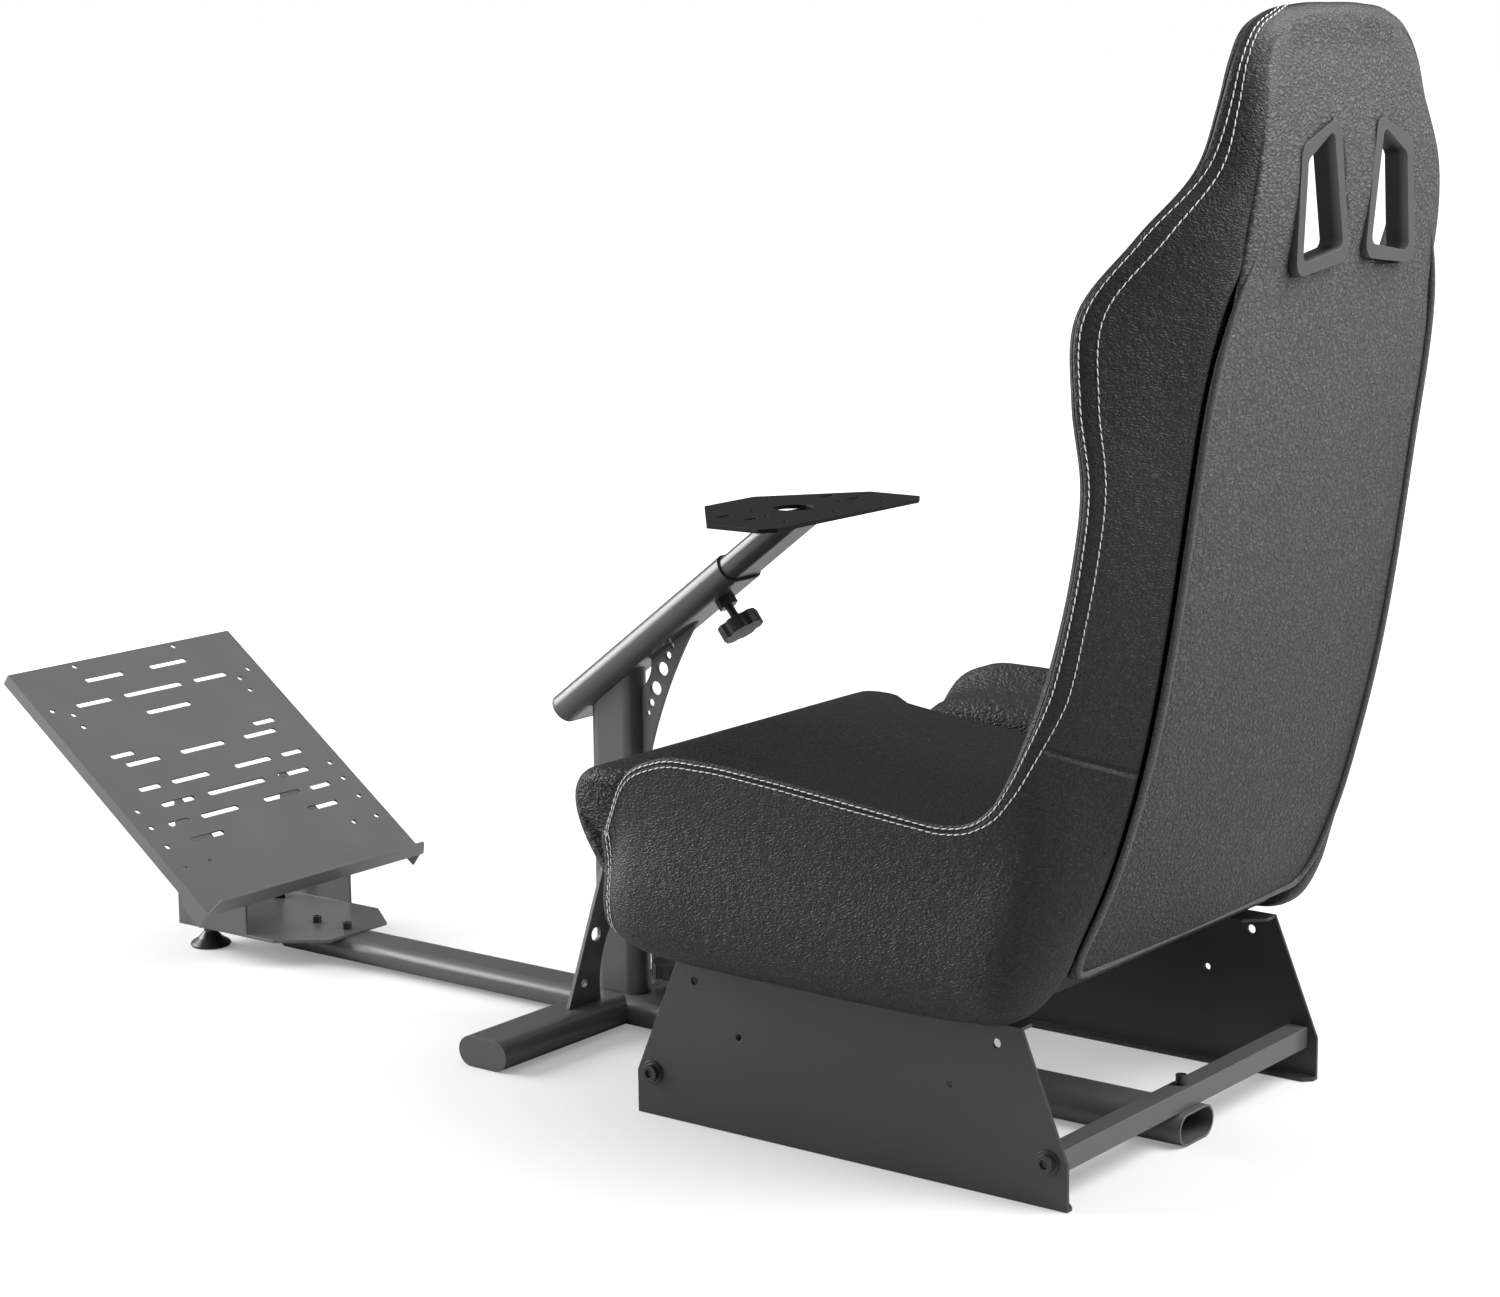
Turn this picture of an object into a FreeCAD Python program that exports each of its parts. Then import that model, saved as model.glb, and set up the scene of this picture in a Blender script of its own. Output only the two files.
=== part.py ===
import FreeCAD, Part
import os
import re
import Sketcher

# Sim racing cockpit: a bucket seat on two side plates, a flat-oval floor tube with
# a cross foot, a braced post with a telescopic wheel column, and a sliding pedal deck.
# Frame: X to the driver's right, Y forward, Z up, origin on the floor under the middle.

# Driving sizes in millimetres and degrees, each with its meaning.
SIZES = [
    ("tube_width", 60, "flat-oval tube, long way across the section"),
    ("tube_height", 30, "flat-oval tube, short way across the section"),
    ("tube_wall", 2, "wall of every tube"),
    ("slide_gap", 0.5, "clearance around a tube that slides in another"),
    ("weld_gap", 0.2, "joint line left between pieces that are welded together"),
    ("rear_end_y", -622, "open rear end of the floor tube"),
    ("foot_y", 35, "centre of the cross foot"),
    ("mouth_reach", 42, "floor tube's front mouth ahead of the cross foot's centre"),
    ("foot_half", 210, "cross foot's reach to either side, caps included"),
    ("cap_thick", 3, "end caps of the tubes"),
    ("post_y", 32, "centre of the upright post"),
    ("post_brace_y", 30, "plane of the side braces"),
    ("brace_reach", 90, "side brace's foot, outer corner from the middle"),
    ("brace_inner", 42, "side brace's foot, inner corner from the middle"),
    ("brace_top", 205, "height of the side brace's tip on the post"),
    ("brace_low", 112, "height where the side brace's inner edge meets the post"),
    ("brace_inner_radius", 95, "hollow of the side brace's inner edge"),
    ("brace_hole_inset", 13, "side brace's holes in from its outer edge"),
    ("brace_hole_drop", 3, "side brace's holes below their share of the height"),
    ("brace_share_low", 0.14, "lowest brace hole, as a share of the height"),
    ("brace_share_mid", 0.4, "middle brace hole, as a share of the height"),
    ("brace_share_top", 0.66, "top brace hole, as a share of the height"),
    ("brace_hole_low", 4.5, "radius of the side brace's lowest hole"),
    ("brace_hole_mid", 7, "radius of the side brace's middle hole"),
    ("brace_hole_top", 5, "radius of the side brace's top hole"),
    ("sheet", 4, "plate of the braces"),
    ("column_slope", 37.3, "column's rise above level, towards the driver"),
    ("column_low_y", 88, "axis of the column at its lower end, forward"),
    ("column_low_z", 313, "axis of the column at its lower end, height"),
    ("column_length", 260, "outer column tube"),
    ("column_inset", 150, "inner column tube's length inside the outer one"),
    ("web_upper_y", -68, "column web's rear corner on the column"),
    ("web_front_y", -11, "column web's front corner on the column"),
    ("web_relief", 30, "front relief of the column web, down the post"),
    ("web_relief_radius", 34, "hollow of that relief"),
    ("web_low_z", 240, "column web's lower tip on the post"),
    ("web_radius", 513, "hollow rear edge of the column web"),
    ("web_hole_inset", 13, "web holes' line from the hollow edge"),
    ("web_hole_turn", 24, "middle of the web holes' line, above level"),
    ("web_step_outer", 4.2, "web's outer holes, degrees from the middle"),
    ("web_step_next", 2.95, "web's next holes, degrees from the middle"),
    ("web_step_middle", 1.2, "web's middle holes, degrees from the middle"),
    ("web_hole_small", 2.8, "radius of the web's outer holes"),
    ("web_hole_medium", 4, "radius of the web's next holes"),
    ("web_hole_large", 7, "radius of the web's middle holes"),
    ("boss_from_mouth", 34, "clamp boss behind the tube's mouth"),
    ("boss_across", 17, "clamp boss across its flats"),
    ("boss_height", 9, "clamp boss height"),
    ("stud_radius", 4, "clamp stud"),
    ("stud_gap", 0.3, "clearance around and below the clamp stud"),
    ("knob_stand", 24, "knob's near face from the boss seat"),
    ("knob_thick", 14, "knob along its stud"),
    ("knob_radius", 21, "knob over its lobes"),
    ("knob_notch_radius", 5.5, "hollows between the lobes"),
    ("tube_knob_y", -30, "clamp stud of the pedal slide"),
    ("plate_z", 528, "underside of the wheel plate"),
    ("plate_thick", 4, "wheel plate"),
    ("plate_front_y", -108, "wheel plate's front edge"),
    ("plate_wide_y", -181, "start of the wheel plate's straight sides"),
    ("plate_clip_y", -239, "end of the wheel plate's straight sides"),
    ("plate_rear_y", -249, "wheel plate's rear edge"),
    ("plate_front_half", 38, "half of the front edge"),
    ("plate_half", 128, "half of the widest part"),
    ("plate_rear_half", 112, "half of the rear edge"),
    ("plate_bore_y", -184, "cable hole's centre"),
    ("plate_bore_radius", 20, "cable hole"),
    ("plate_slot_x", 81, "wheel-base slots from the middle"),
    ("plate_slot_length", 20, "wheel-base slots"),
    ("plate_slot_width", 6.5, "wheel-base slots"),
    ("plate_slot_front_y", -163, "front pair of wheel-base slots"),
    ("plate_slot_rear_y", -194, "rear pair of wheel-base slots"),
    ("plate_hole_radius", 2.75, "small wheel-base holes"),
    ("plate_hole_x", 38, "inner wheel-base holes from the middle"),
    ("plate_hole_mid_x", 57, "middle wheel-base holes from the middle line"),
    ("plate_hole_front_y", -124, "front wheel-base holes"),
    ("plate_hole_rear_y", -230, "rear wheel-base holes"),
    ("plate_hole_rear_x", 76, "rear wheel-base holes from the middle"),
    ("pedal_end_y", 490, "front end of the pedal tube"),
    ("pedal_inset", 235, "pedal tube's length inside the floor tube"),
    ("deck_tilt", 36.5, "pedal plate above level"),
    ("deck_heel_y", 456, "pedal plate's lower bend"),
    ("deck_heel_z", 77, "pedal plate's lower bend, height of its upper face"),
    ("deck_length", 368.5, "pedal plate along its slope"),
    ("deck_half", 162.5, "half of the pedal plate's width"),
    ("deck_sheet", 2.5, "pedal plate"),
    ("deck_flange", 13, "turned-down edges of the pedal plate"),
    ("deck_tab", 22, "depth of the tab at the lower end of each turned edge"),
    ("deck_tab_length", 30, "length of that tab"),
    ("deck_lip", 18, "heel stop along the lower bend"),
    ("deck_lip_clip", 10, "slant of the heel stop's ends"),
    ("deck_slot_width", 7, "pedal slots"),
    ("deck_hole_radius", 3.25, "pedal holes"),
    ("bracket_sheet", 3, "pedal bracket"),
    ("bracket_rear_y", 399, "pedal bracket's rear edge"),
    ("bracket_rear_half", 43, "half of that edge"),
    ("bracket_half", 80, "half of the pedal bracket's width"),
    ("bracket_clip_y", 447, "end of the bracket's slanted corners"),
    ("bracket_wall_y", 487, "rear edge of the bracket's side walls"),
    ("bracket_front_y", 590, "front edge of the bracket"),
    ("bracket_bolt_y", 416, "rear bolt into the pedal tube"),
    ("bracket_bolt_pitch", 45, "step between the bolts into the pedal tube"),
    ("bolt_radius", 3, "bolt shanks"),
    ("bolt_head_radius", 5, "socket heads"),
    ("bolt_head_height", 7, "socket heads"),
    ("foot_x", 52, "levelling feet from the middle"),
    ("foot_reach_y", 572, "levelling feet, forward"),
    ("foot_radius", 22, "levelling foot at the floor"),
    ("foot_rim", 4, "levelling foot's rim height"),
    ("foot_neck_radius", 7, "levelling foot's neck"),
    ("foot_height", 20, "levelling foot to its neck's top"),
    ("foot_bell_share", 0.3, "height of the foot's flare, as a share of its bell"),
    ("foot_neck_share", 0.75, "height where the neck starts, as a share of the bell"),
    ("foot_nut_across", 13, "lock nut on the levelling stud, across its flats"),
    ("foot_nut_height", 6, "lock nut on the levelling stud"),
    ("foot_thread_radius", 4, "levelling foot's stud"),
    ("foot_thread_over", 14, "levelling stud above the bracket"),
    ("seat_rear_y", -625, "rear edge of the seat side plates"),
    ("side_sheet", 3, "seat side plate"),
    ("side_half", 220, "outer face of the side plates from the middle"),
    ("side_length", 460, "side plate along the floor"),
    ("side_height", 152, "side plate"),
    ("side_shoulder", 40, "height where the side plate's ends lean in"),
    ("side_top_rear", 46, "side plate's top edge, rear end"),
    ("side_top_front", 412, "side plate's top edge, front end"),
    ("side_flange", 34, "turned-in top edge"),
    ("side_foot_flange", 16, "turned-in bottom edge"),
    ("flange_clip", 0.5, "clipped corners of the turned-in edges, as a share of their width"),
    ("side_hole_high_z", 134.5, "upper slide-rail holes"),
    ("side_hole_high_rear", 70.5, "upper hole behind"),
    ("side_hole_high_front", 392.5, "upper hole in front"),
    ("side_hole_high_radius", 4.25, "upper holes"),
    ("side_hole_low_z", 90.5, "lower holes"),
    ("side_hole_low_rear", 117, "lower hole behind"),
    ("side_hole_low_front", 343.5, "lower hole in front"),
    ("side_hole_low_radius", 3.25, "lower holes"),
    ("bar_side", 20, "square cross bar"),
    ("bar_wall", 1.5, "wall of the cross bars"),
    ("bar_inset", 19.4, "rear bar's centre from the side plates' rear edge"),
    ("bar_front", 442.4, "front bar's centre from the side plates' rear edge"),
    ("button_radius", 8, "button heads on the side plates"),
    ("button_height", 4.5, "button heads on the side plates"),
    ("washer_radius", 11, "washers under the button heads"),
    ("washer_thick", 1.5, "washers under the button heads"),
    ("stub_height", 9, "bolt heads on the cross bars"),
    ("seat_gap", 0.4, "joint line between upholstered pieces and what they rest on"),
    ("panel_thick", 8, "back cover"),
    ("back_gap", 2, "joint line between the back and the bolsters"),
    ("nose_rise", 12, "roll of the bolster beyond its stitched edge"),
    ("roll_share", 0.33, "top of the roll in from the stitched edge, as a share of the width"),
    ("flank_bow", 1.4, "bow of the bolster's outer flank, radius over its chord"),
    ("roll_bow", 0.75, "bow of the bolster's roll, radius over its chord"),
    ("slope_bow", 1.6, "bow of the bolster's inner slope, radius over its chord"),
    ("cushion_half", 202.6, "half of the seat cushion's width"),
    ("cushion_nose_radius", 40, "roll of the cushion's front edge"),
    ("cushion_front_y", -91, "foremost point of the cushion's nose"),
    ("cushion_nose_z", 280, "height of the cushion's nose"),
    ("cushion_crest_y", -134, "cushion's front crest"),
    ("cushion_crest_z", 312, "cushion's front crest"),
    ("cushion_low_rear_y", -560, "rear end of the seat's underside"),
    ("cushion_low_front_y", -180, "front end of the seat's underside"),
    ("belt_inner_low_x", 14, "harness opening, inner lower corner"),
    ("belt_outer_low_x", 104, "harness opening, outer lower corner"),
    ("belt_outer_high_x", 97, "harness opening, outer upper corner"),
    ("belt_inner_high_x", 33, "harness opening, inner upper corner"),
    ("belt_inner_low_z", 782, "harness opening's inner lower corner"),
    ("belt_outer_low_z", 772, "harness opening's outer lower corner"),
    ("belt_outer_high_z", 876, "harness opening's outer upper corner"),
    ("belt_inner_high_z", 899, "harness opening's inner upper corner"),
    ("bezel_rim", 11, "harness trim, across its face"),
    ("bezel_proud", 3, "harness trim beyond the back cover"),
    ("bezel_outer_reach", 13, "start of the trim's rounded outer corners"),
    ("bezel_inner_reach", 7, "start of the trim's rounded inner corners"),
    ("corner_bow", 0.72, "rounded corners of the trim, radius over chord"),
]

# Seat side stations from the front of the thigh wing, round the hip, to the crown.
# Each gives the root on the underside or back, the stitched crest, the half widths at
# the cushion, at the root's outer end and at the crest, and the cushion's depth.
STATIONS = [
    ("wing_1", -167, 174, -163, 268, 204, 232, 258, 78),
    ("wing_2", -192, 164, -189, 319, 204, 232, 265, 136),
    ("wing_3", -233, 159, -228, 341, 204, 232, 267, 146),
    ("thigh_1", -288, 157, -279, 345, 204, 232, 267, 146),
    ("thigh_2", -351, 156, -344, 341, 204, 232, 267, 142),
    ("thigh_3", -420, 155, -406, 335, 204, 232, 267, 139),
    ("hip_1", -489, 155, -455, 330, 204, 231, 267, 135),
    ("hip_2", -545, 157, -497, 326, 204, 230, 267, 130),
    ("hip_3", -587, 165, -531, 324, 204, 228, 267, 122),
    ("hip_4", -614, 194, -558, 328, 203, 225, 267, 104),
    ("loin_1", -633, 233, -579, 341, 201, 219, 267, 89),
    ("loin_2", -652, 278, -597, 365, 197, 211, 267, 80),
    ("loin_3", -671, 338, -615, 397, 193, 204, 267, 72),
    ("loin_4", -690, 414, -633, 438, 191, 200, 267, 65),
    ("chest_1", -704, 490, -648, 487, 190, 198, 267, 62),
    ("chest_2", -714, 558, -662, 549, 189, 197, 267, 59),
    ("chest_3", -723, 622, -670, 616, 188, 196, 267, 52),
    ("chest_4", -733, 686, -661, 683, 186, 195, 267, 38),
    ("neck_1", -744, 750, -659, 749, 174, 185, 259, 25),
    ("neck_2", -754, 811, -690, 809, 143, 167, 222, 20),
    ("neck_3", -757, 865, -718, 864, 119, 154, 174, 18),
    ("neck_4", -752, 909, -726, 912, 110, 135, 157, 20),
    ("crown_1", -748, 940, -730, 944, 103, 121, 144, 23),
    ("crown_2", -745, 963, -731, 966, 92, 106, 127, 25),
    ("crown_3", -742, 976, -732, 979, 77, 88, 105, 23),
    ("crown_4", -740, 982, -733, 984, 58, 66, 80, 19),
]
STATION_PARTS = ("root_y", "root_z", "crest_y", "crest_z", "inner_x", "root_x", "crest_x", "pad")
STATION_NAMES = [name for name, *rest in STATIONS]
BACK = STATION_NAMES[STATION_NAMES.index("hip_4"):]

# Pedal plate slots and holes on the right half, from the middle line and the lower bend.
# A slot gives its distance across, its distance up the slope and its length.
DECK_MIDDLE_SLOTS = [(307, 85), (277, 65), (213, 65), (149.5, 85)]
DECK_SIDE_SLOTS = [
    (47, 339, 55),
    (86, 307, 50),
    (105.5, 228, 33),
    (87, 213, 49),
    (46.5, 176.5, 55),
    (106, 176.5, 31),
    (86.5, 149.5, 47),
    (46.5, 122.5, 55),
    (105.5, 122.5, 31),
    (86.5, 95.5, 47),
]
DECK_HOLES = [
    (73, 362),
    (145, 307),
    (123.5, 296),
    (123.5, 276.5),
    (144, 149.5),
    (144, 124.5),
    (144, 95.5),
    (144, 63),
    (108, 63),
]

SIDES = (("left", -1), ("right", 1))

doc = FreeCAD.newDocument("sim_racing_cockpit")
sheet = doc.addObject("Spreadsheet::Sheet", "Dims")
ALIASES = set()
PIECES = []


def fill_sheet():
    """Write every size and every seat station into a named cell."""
    rows = list(SIZES)
    for name, *values in STATIONS:
        for part, value in zip(STATION_PARTS, values):
            rows.append((f"{name}_{part}", value, f"seat side at the {name}"))
    for row, (alias, value, note) in enumerate(rows, 1):
        sheet.set(f"A{row}", alias)
        sheet.set(f"B{row}", str(value))
        sheet.set(f"C{row}", note)
        sheet.setAlias(f"B{row}", alias)
        ALIASES.add(alias)
    doc.recompute()


def formula(text):
    """Spell a size formula with the sheet's own cells."""
    return re.sub(r"[a-z]\w*", lambda m: f"Dims.{m[0]}" if m[0] in ALIASES else m[0], str(text))


def value(text):
    """Work a size formula out as a number."""
    return float(sheet.evalExpression(formula(text)))


def bind(target, prop, text):
    """Tie one property of a document object to a size formula."""
    target.setExpression(prop, formula(text))


def new_body(label, x="0", y="0", z="0", turn=None):
    """Start a sub-part at a place given by formulas, turned about X where asked."""
    body = doc.addObject("PartDesign::Body", label)
    body.Label = label
    if turn is not None:
        lean = FreeCAD.Rotation(FreeCAD.Vector(1, 0, 0), value(turn))
        body.Placement = FreeCAD.Placement(FreeCAD.Vector(), lean)
        bind(body, "Placement.Rotation.Angle", turn)
    for axis, text in zip("xyz", (x, y, z)):
        bind(body, f"Placement.Base.{axis}", text)
    PIECES.append(body)
    return body


def new_sketch(body, plane, lift="0"):
    """Start a sketch on one of the body's own planes, lifted along its normal."""
    sketch = body.newObject("Sketcher::SketchObject", f"{body.Name}_outline")
    support = next(f for f in body.Origin.OriginFeatures if f.Role == plane)
    sketch.AttachmentSupport = (support, "")
    sketch.MapMode = "FlatFace"
    bind(sketch, "AttachmentOffset.Base.z", lift)
    return sketch


def pin(sketch, curve, point, place):
    """Hold one point of a curve at a place given by two formulas."""
    for kind, axis, text in zip(("DistanceX", "DistanceY"), (-2, -1), place):
        if abs(value(text)) < 1e-9:
            sketch.addConstraint(Sketcher.Constraint("PointOnObject", curve, point, axis))
            continue
        number = sketch.addConstraint(Sketcher.Constraint(kind, -1, 1, curve, point, value(text)))
        bind(sketch, f"Constraints[{number}]", text)


def set_radius(sketch, curve, radius):
    """Hold the radius of a circle or arc at a formula."""
    number = sketch.addConstraint(Sketcher.Constraint("Radius", curve, value(radius)))
    bind(sketch, f"Constraints[{number}]", radius)


def vector(place):
    """A sketch point from two formulas."""
    return FreeCAD.Vector(value(place[0]), value(place[1]), 0)


def end_at(sketch, curve, place):
    """Which end of a curve lies at a place: 1 for its start, 2 for its end."""
    return 1 if sketch.getPoint(curve, 1).isEqual(vector(place), 1e-6) else 2


def bowed(start, end, radius, side):
    """Arc of a radius between two places, bowed to one side of its chord."""
    a, b = vector(start), vector(end)
    chord = b.sub(a)
    size = value(radius)
    sag = size - (size * size - chord.Length ** 2 / 4) ** 0.5
    normal = FreeCAD.Vector(-chord.y, chord.x, 0).normalize()
    return Part.Arc(a, a + chord * 0.5 + normal * (side * sag), b)


def polygon(sketch, corners, arcs=None):
    """Closed outline through corners given by formulas, with arcs for the edges named."""
    arcs = arcs or {}
    count = len(corners)
    curves = []
    for k in range(count):
        start, end = corners[k], corners[(k + 1) % count]
        edge = bowed(start, end, *arcs[k]) if k in arcs else Part.LineSegment(vector(start), vector(end))
        curves.append(sketch.addGeometry(edge, False))
    for k in range(count):
        place = corners[(k + 1) % count]
        near, far = curves[k], curves[(k + 1) % count]
        ends = end_at(sketch, near, place), end_at(sketch, far, place)
        sketch.addConstraint(Sketcher.Constraint("Coincident", near, ends[0], far, ends[1]))
        pin(sketch, far, ends[1], place)
    for k, (radius, side) in arcs.items():
        set_radius(sketch, curves[k], radius)
    return curves


def circle(sketch, place, radius):
    """Circle at a place given by formulas."""
    curve = sketch.addGeometry(Part.Circle(vector(place), FreeCAD.Vector(0, 0, 1), value(radius)), False)
    pin(sketch, curve, 3, place)
    set_radius(sketch, curve, radius)


def stadium(sketch, place, length, width, upright=False):
    """Two half circles joined by straight flanks, long way across or upright."""
    half = f"(({length}) - ({width})) / 2"
    reach = (("0", half) if upright else (half, "0"))
    ends = [(f"{place[0]} + {s} * ({reach[0]})", f"{place[1]} + {s} * ({reach[1]})") for s in (1, -1)]
    radius = value(f"({width}) / 2")
    start = 0 if upright else -90
    arcs = []
    for end, turn in zip(ends, (start, start + 180)):
        ring = Part.Circle(vector(end), FreeCAD.Vector(0, 0, 1), radius)
        low, high = (FreeCAD.Units.Quantity(a, "deg").getValueAs("rad").Value for a in (turn, turn + 180))
        arcs.append(sketch.addGeometry(Part.ArcOfCircle(ring, low, high), False))
    lines = []
    for a, b in ((arcs[0], arcs[1]), (arcs[1], arcs[0])):
        edge = Part.LineSegment(sketch.getPoint(a, 2), sketch.getPoint(b, 1))
        lines.append(sketch.addGeometry(edge, False))
    for a, line, b in ((arcs[0], lines[0], arcs[1]), (arcs[1], lines[1], arcs[0])):
        sketch.addConstraint(Sketcher.Constraint("Tangent", a, 2, line, 1))
        sketch.addConstraint(Sketcher.Constraint("Tangent", line, 2, b, 1))
    sketch.addConstraint(Sketcher.Constraint("Equal", arcs[0], arcs[1]))
    for arc, end in zip(arcs, ends):
        pin(sketch, arc, 3, end)
    set_radius(sketch, arcs[0], f"({width}) / 2")


def pad(body, sketch, length, reverse=False, middle=False):
    """Pad a sketch to a length given by a formula."""
    feature = body.newObject("PartDesign::Pad", f"{body.Name}_pad")
    feature.Profile = sketch
    bind(feature, "Length", length)
    feature.Reversed = reverse
    feature.Midplane = middle
    return feature


def cut(body, sketch):
    """Cut a sketch through the whole piece, both ways."""
    before = body.Shape.Volume if body.Tip and body.Shape else 0
    feature = body.newObject("PartDesign::Pocket", f"{body.Name}_cut")
    feature.Profile = sketch
    feature.Type = "ThroughAll"
    feature.Midplane = True
    doc.recompute()
    if before and body.Shape.Volume > before - 1e-6:
        raise RuntimeError(f"{body.Label}: the cut removed nothing")
    return feature


def tube_section(sketch, upright=False, shrink="0"):
    """Hollow flat-oval section, its outside reduced all round by a formula."""
    length, width = (f"{side} - 2 * ({shrink})" for side in ("tube_width", "tube_height"))
    stadium(sketch, ("0", "0"), length, width, upright)
    stadium(sketch, ("0", "0"), f"{length} - 2 * tube_wall", f"{width} - 2 * tube_wall", upright)


INNER = "tube_wall + slide_gap"
COLUMN = dict(y="column_low_y", z="column_low_z", turn="180 - column_slope")
MOUTH_Y = "foot_y + mouth_reach"
COLUMN_CUT = "(tube_height / 2 + weld_gap) / cos(column_slope)"
UNDER = f"column_low_z + (column_low_y - ({{}})) * tan(column_slope) - {COLUMN_CUT}"


def floor_tube():
    """Floor tube along the middle, open behind, with the clamp stud's hole on top."""
    body = new_body("main_floor_tube", y="rear_end_y", z="tube_height / 2")
    sketch = new_sketch(body, "XZ_Plane")
    tube_section(sketch)
    pad(body, sketch, f"{MOUTH_Y} - rear_end_y", reverse=True)
    doc.recompute()
    drill = new_sketch(body, "XY_Plane")
    circle(drill, ("0", "tube_knob_y - rear_end_y"), "stud_radius + stud_gap")
    feature = cut(body, drill)
    feature.Midplane = False
    feature.Reversed = True


def cross_foot(side, s):
    """Half of the cross foot, coped to the floor tube's rounded flank."""
    body = new_body(f"cross_foot_{side}", y="foot_y", z="tube_height / 2")
    sketch = new_sketch(body, "YZ_Plane")
    tube_section(sketch)
    pad(body, sketch, "foot_half - cap_thick", reverse=s < 0)
    doc.recompute()
    cope = new_sketch(body, "XZ_Plane")
    stadium(cope, ("0", "0"), "tube_width + 2 * weld_gap", "tube_height + 2 * weld_gap")
    cut(body, cope)


def foot_caps():
    """Pressed end caps that close the cross foot."""
    caps = []
    for side, s in SIDES:
        cap = doc.addObject("PartDesign::Body", f"cap_{side}")
        bind(cap, "Placement.Base.x", f"{s} * (foot_half - cap_thick)")
        bind(cap, "Placement.Base.y", "foot_y")
        bind(cap, "Placement.Base.z", "tube_height / 2")
        sketch = new_sketch(cap, "YZ_Plane")
        stadium(sketch, ("0", "0"), "tube_width", "tube_height")
        pad(cap, sketch, "cap_thick", reverse=s < 0)
        caps.append(cap)
    group("cross_foot_caps", caps)


def group(label, solids):
    """Like pieces that do not touch, kept as one sub-part."""
    compound = doc.addObject("Part::Compound", label)
    compound.Label = label
    compound.Links = solids
    PIECES.append(compound)


def post():
    """Upright post, its flats to the sides, its top cut to the column's slope."""
    body = new_body("post", y="post_y", z="tube_height + weld_gap")
    sketch = new_sketch(body, "XY_Plane")
    tube_section(sketch, upright=True)
    front, rear = (f"post_y + {s} * tube_width" for s in (1, -1))
    base = "(tube_height + weld_gap)"
    pad(body, sketch, f"{UNDER.format(rear)} - {base}")
    doc.recompute()
    trim = new_sketch(body, "YZ_Plane")
    polygon(trim, [
        ("tube_width", f"{UNDER.format(front)} - {base}"),
        ("tube_width", f"{UNDER.format(rear)} + tube_width"),
        ("-tube_width", f"{UNDER.format(rear)} + tube_width"),
        ("-tube_width", f"{UNDER.format(rear)} - {base}"),
    ])
    cut(body, trim)


def post_brace(side, s):
    """Side brace between the cross foot and the post, hollowed and holed."""
    body = new_body(f"post_brace_{side}", y="post_brace_y")
    sketch = new_sketch(body, "XZ_Plane")
    face = f"{s} * (tube_height / 2 + weld_gap)"
    base = "tube_height + weld_gap"
    polygon(sketch, [
        (f"{s} * brace_inner", base),
        (f"{s} * brace_reach", base),
        (face, "brace_top"),
        (face, "brace_low"),
    ], {3: ("brace_inner_radius", s)})
    pad(body, sketch, "sheet", middle=True)
    doc.recompute()
    holes = new_sketch(body, "XZ_Plane")
    for level in ("low", "mid", "top"):
        share = f"brace_share_{level}"
        lean = f"brace_reach * (1 - {share}) + tube_height / 2 * {share}"
        up = f"tube_height + (brace_top - tube_height) * {share} - brace_hole_drop"
        circle(holes, (f"{s} * ({lean} - brace_hole_inset)", up), f"brace_hole_{level}")
    cut(body, holes)


def column_outer():
    """Outer column tube, with the clamp stud's hole in its underside."""
    body = new_body("column_outer_tube", **COLUMN)
    sketch = new_sketch(body, "XZ_Plane")
    tube_section(sketch)
    pad(body, sketch, "column_length", reverse=True)
    doc.recompute()
    drill = new_sketch(body, "XY_Plane")
    circle(drill, ("0", "column_length - boss_from_mouth"), "stud_radius + stud_gap")
    feature = cut(body, drill)
    feature.Midplane = False
    feature.Reversed = True


def column_cap():
    """Cap in the column's lower end."""
    body = new_body("column_end_cap", **COLUMN)
    sketch = new_sketch(body, "XZ_Plane")
    stadium(sketch, ("0", "0"), "tube_width", "tube_height")
    pad(body, sketch, "cap_thick")


def column_web():
    """Web under the column: hollow rear edge and a run of holes that grow to the middle."""
    body = new_body("column_web")
    sketch = new_sketch(body, "YZ_Plane")
    post_face = "post_y - tube_width / 2 - weld_gap"
    curves = polygon(sketch, [
        ("web_upper_y", UNDER.format("web_upper_y")),
        ("web_front_y", UNDER.format("web_front_y")),
        (post_face, UNDER.format("web_front_y") + " - web_relief"),
        (post_face, "web_low_z"),
    ], {1: ("web_relief_radius", -1), 3: ("web_radius", -1)})
    pad(body, sketch, "sheet", middle=True)
    doc.recompute()
    heart = sketch.getPoint(curves[3], 3)
    holes = new_sketch(body, "YZ_Plane")
    steps = (("outer", "small"), ("next", "medium"), ("middle", "large"))
    for step, size in steps:
        for side, s in SIDES:
            angle = f"(web_hole_turn + {s} * web_step_{step})"
            reach = "(web_radius + web_hole_inset)"
            place = (f"{heart.x} + {reach} * cos({angle})", f"{heart.y} + {reach} * sin({angle})")
            circle(holes, place, f"web_hole_{size}")
    cut(body, holes)


def hexagon(sketch, place, across):
    """Six-sided outline across its flats."""
    radius = f"({across}) / 2 / cos(180 / 6)"
    turns = [f"(360 / 6 * {k})" for k in range(6)]
    x, y = place
    polygon(sketch, [(f"{x} + {radius} * cos({t})", f"{y} + {radius} * sin({t})") for t in turns])


def clamp_boss(label, along, **where):
    """Threaded boss welded on a tube's flat for a clamp stud."""
    body = new_body(label, **where)
    sketch = new_sketch(body, "XY_Plane", "tube_height / 2 + weld_gap")
    hexagon(sketch, ("0", along), "boss_across")
    circle(sketch, ("0", along), "stud_radius + stud_gap")
    pad(body, sketch, "boss_height")


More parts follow.
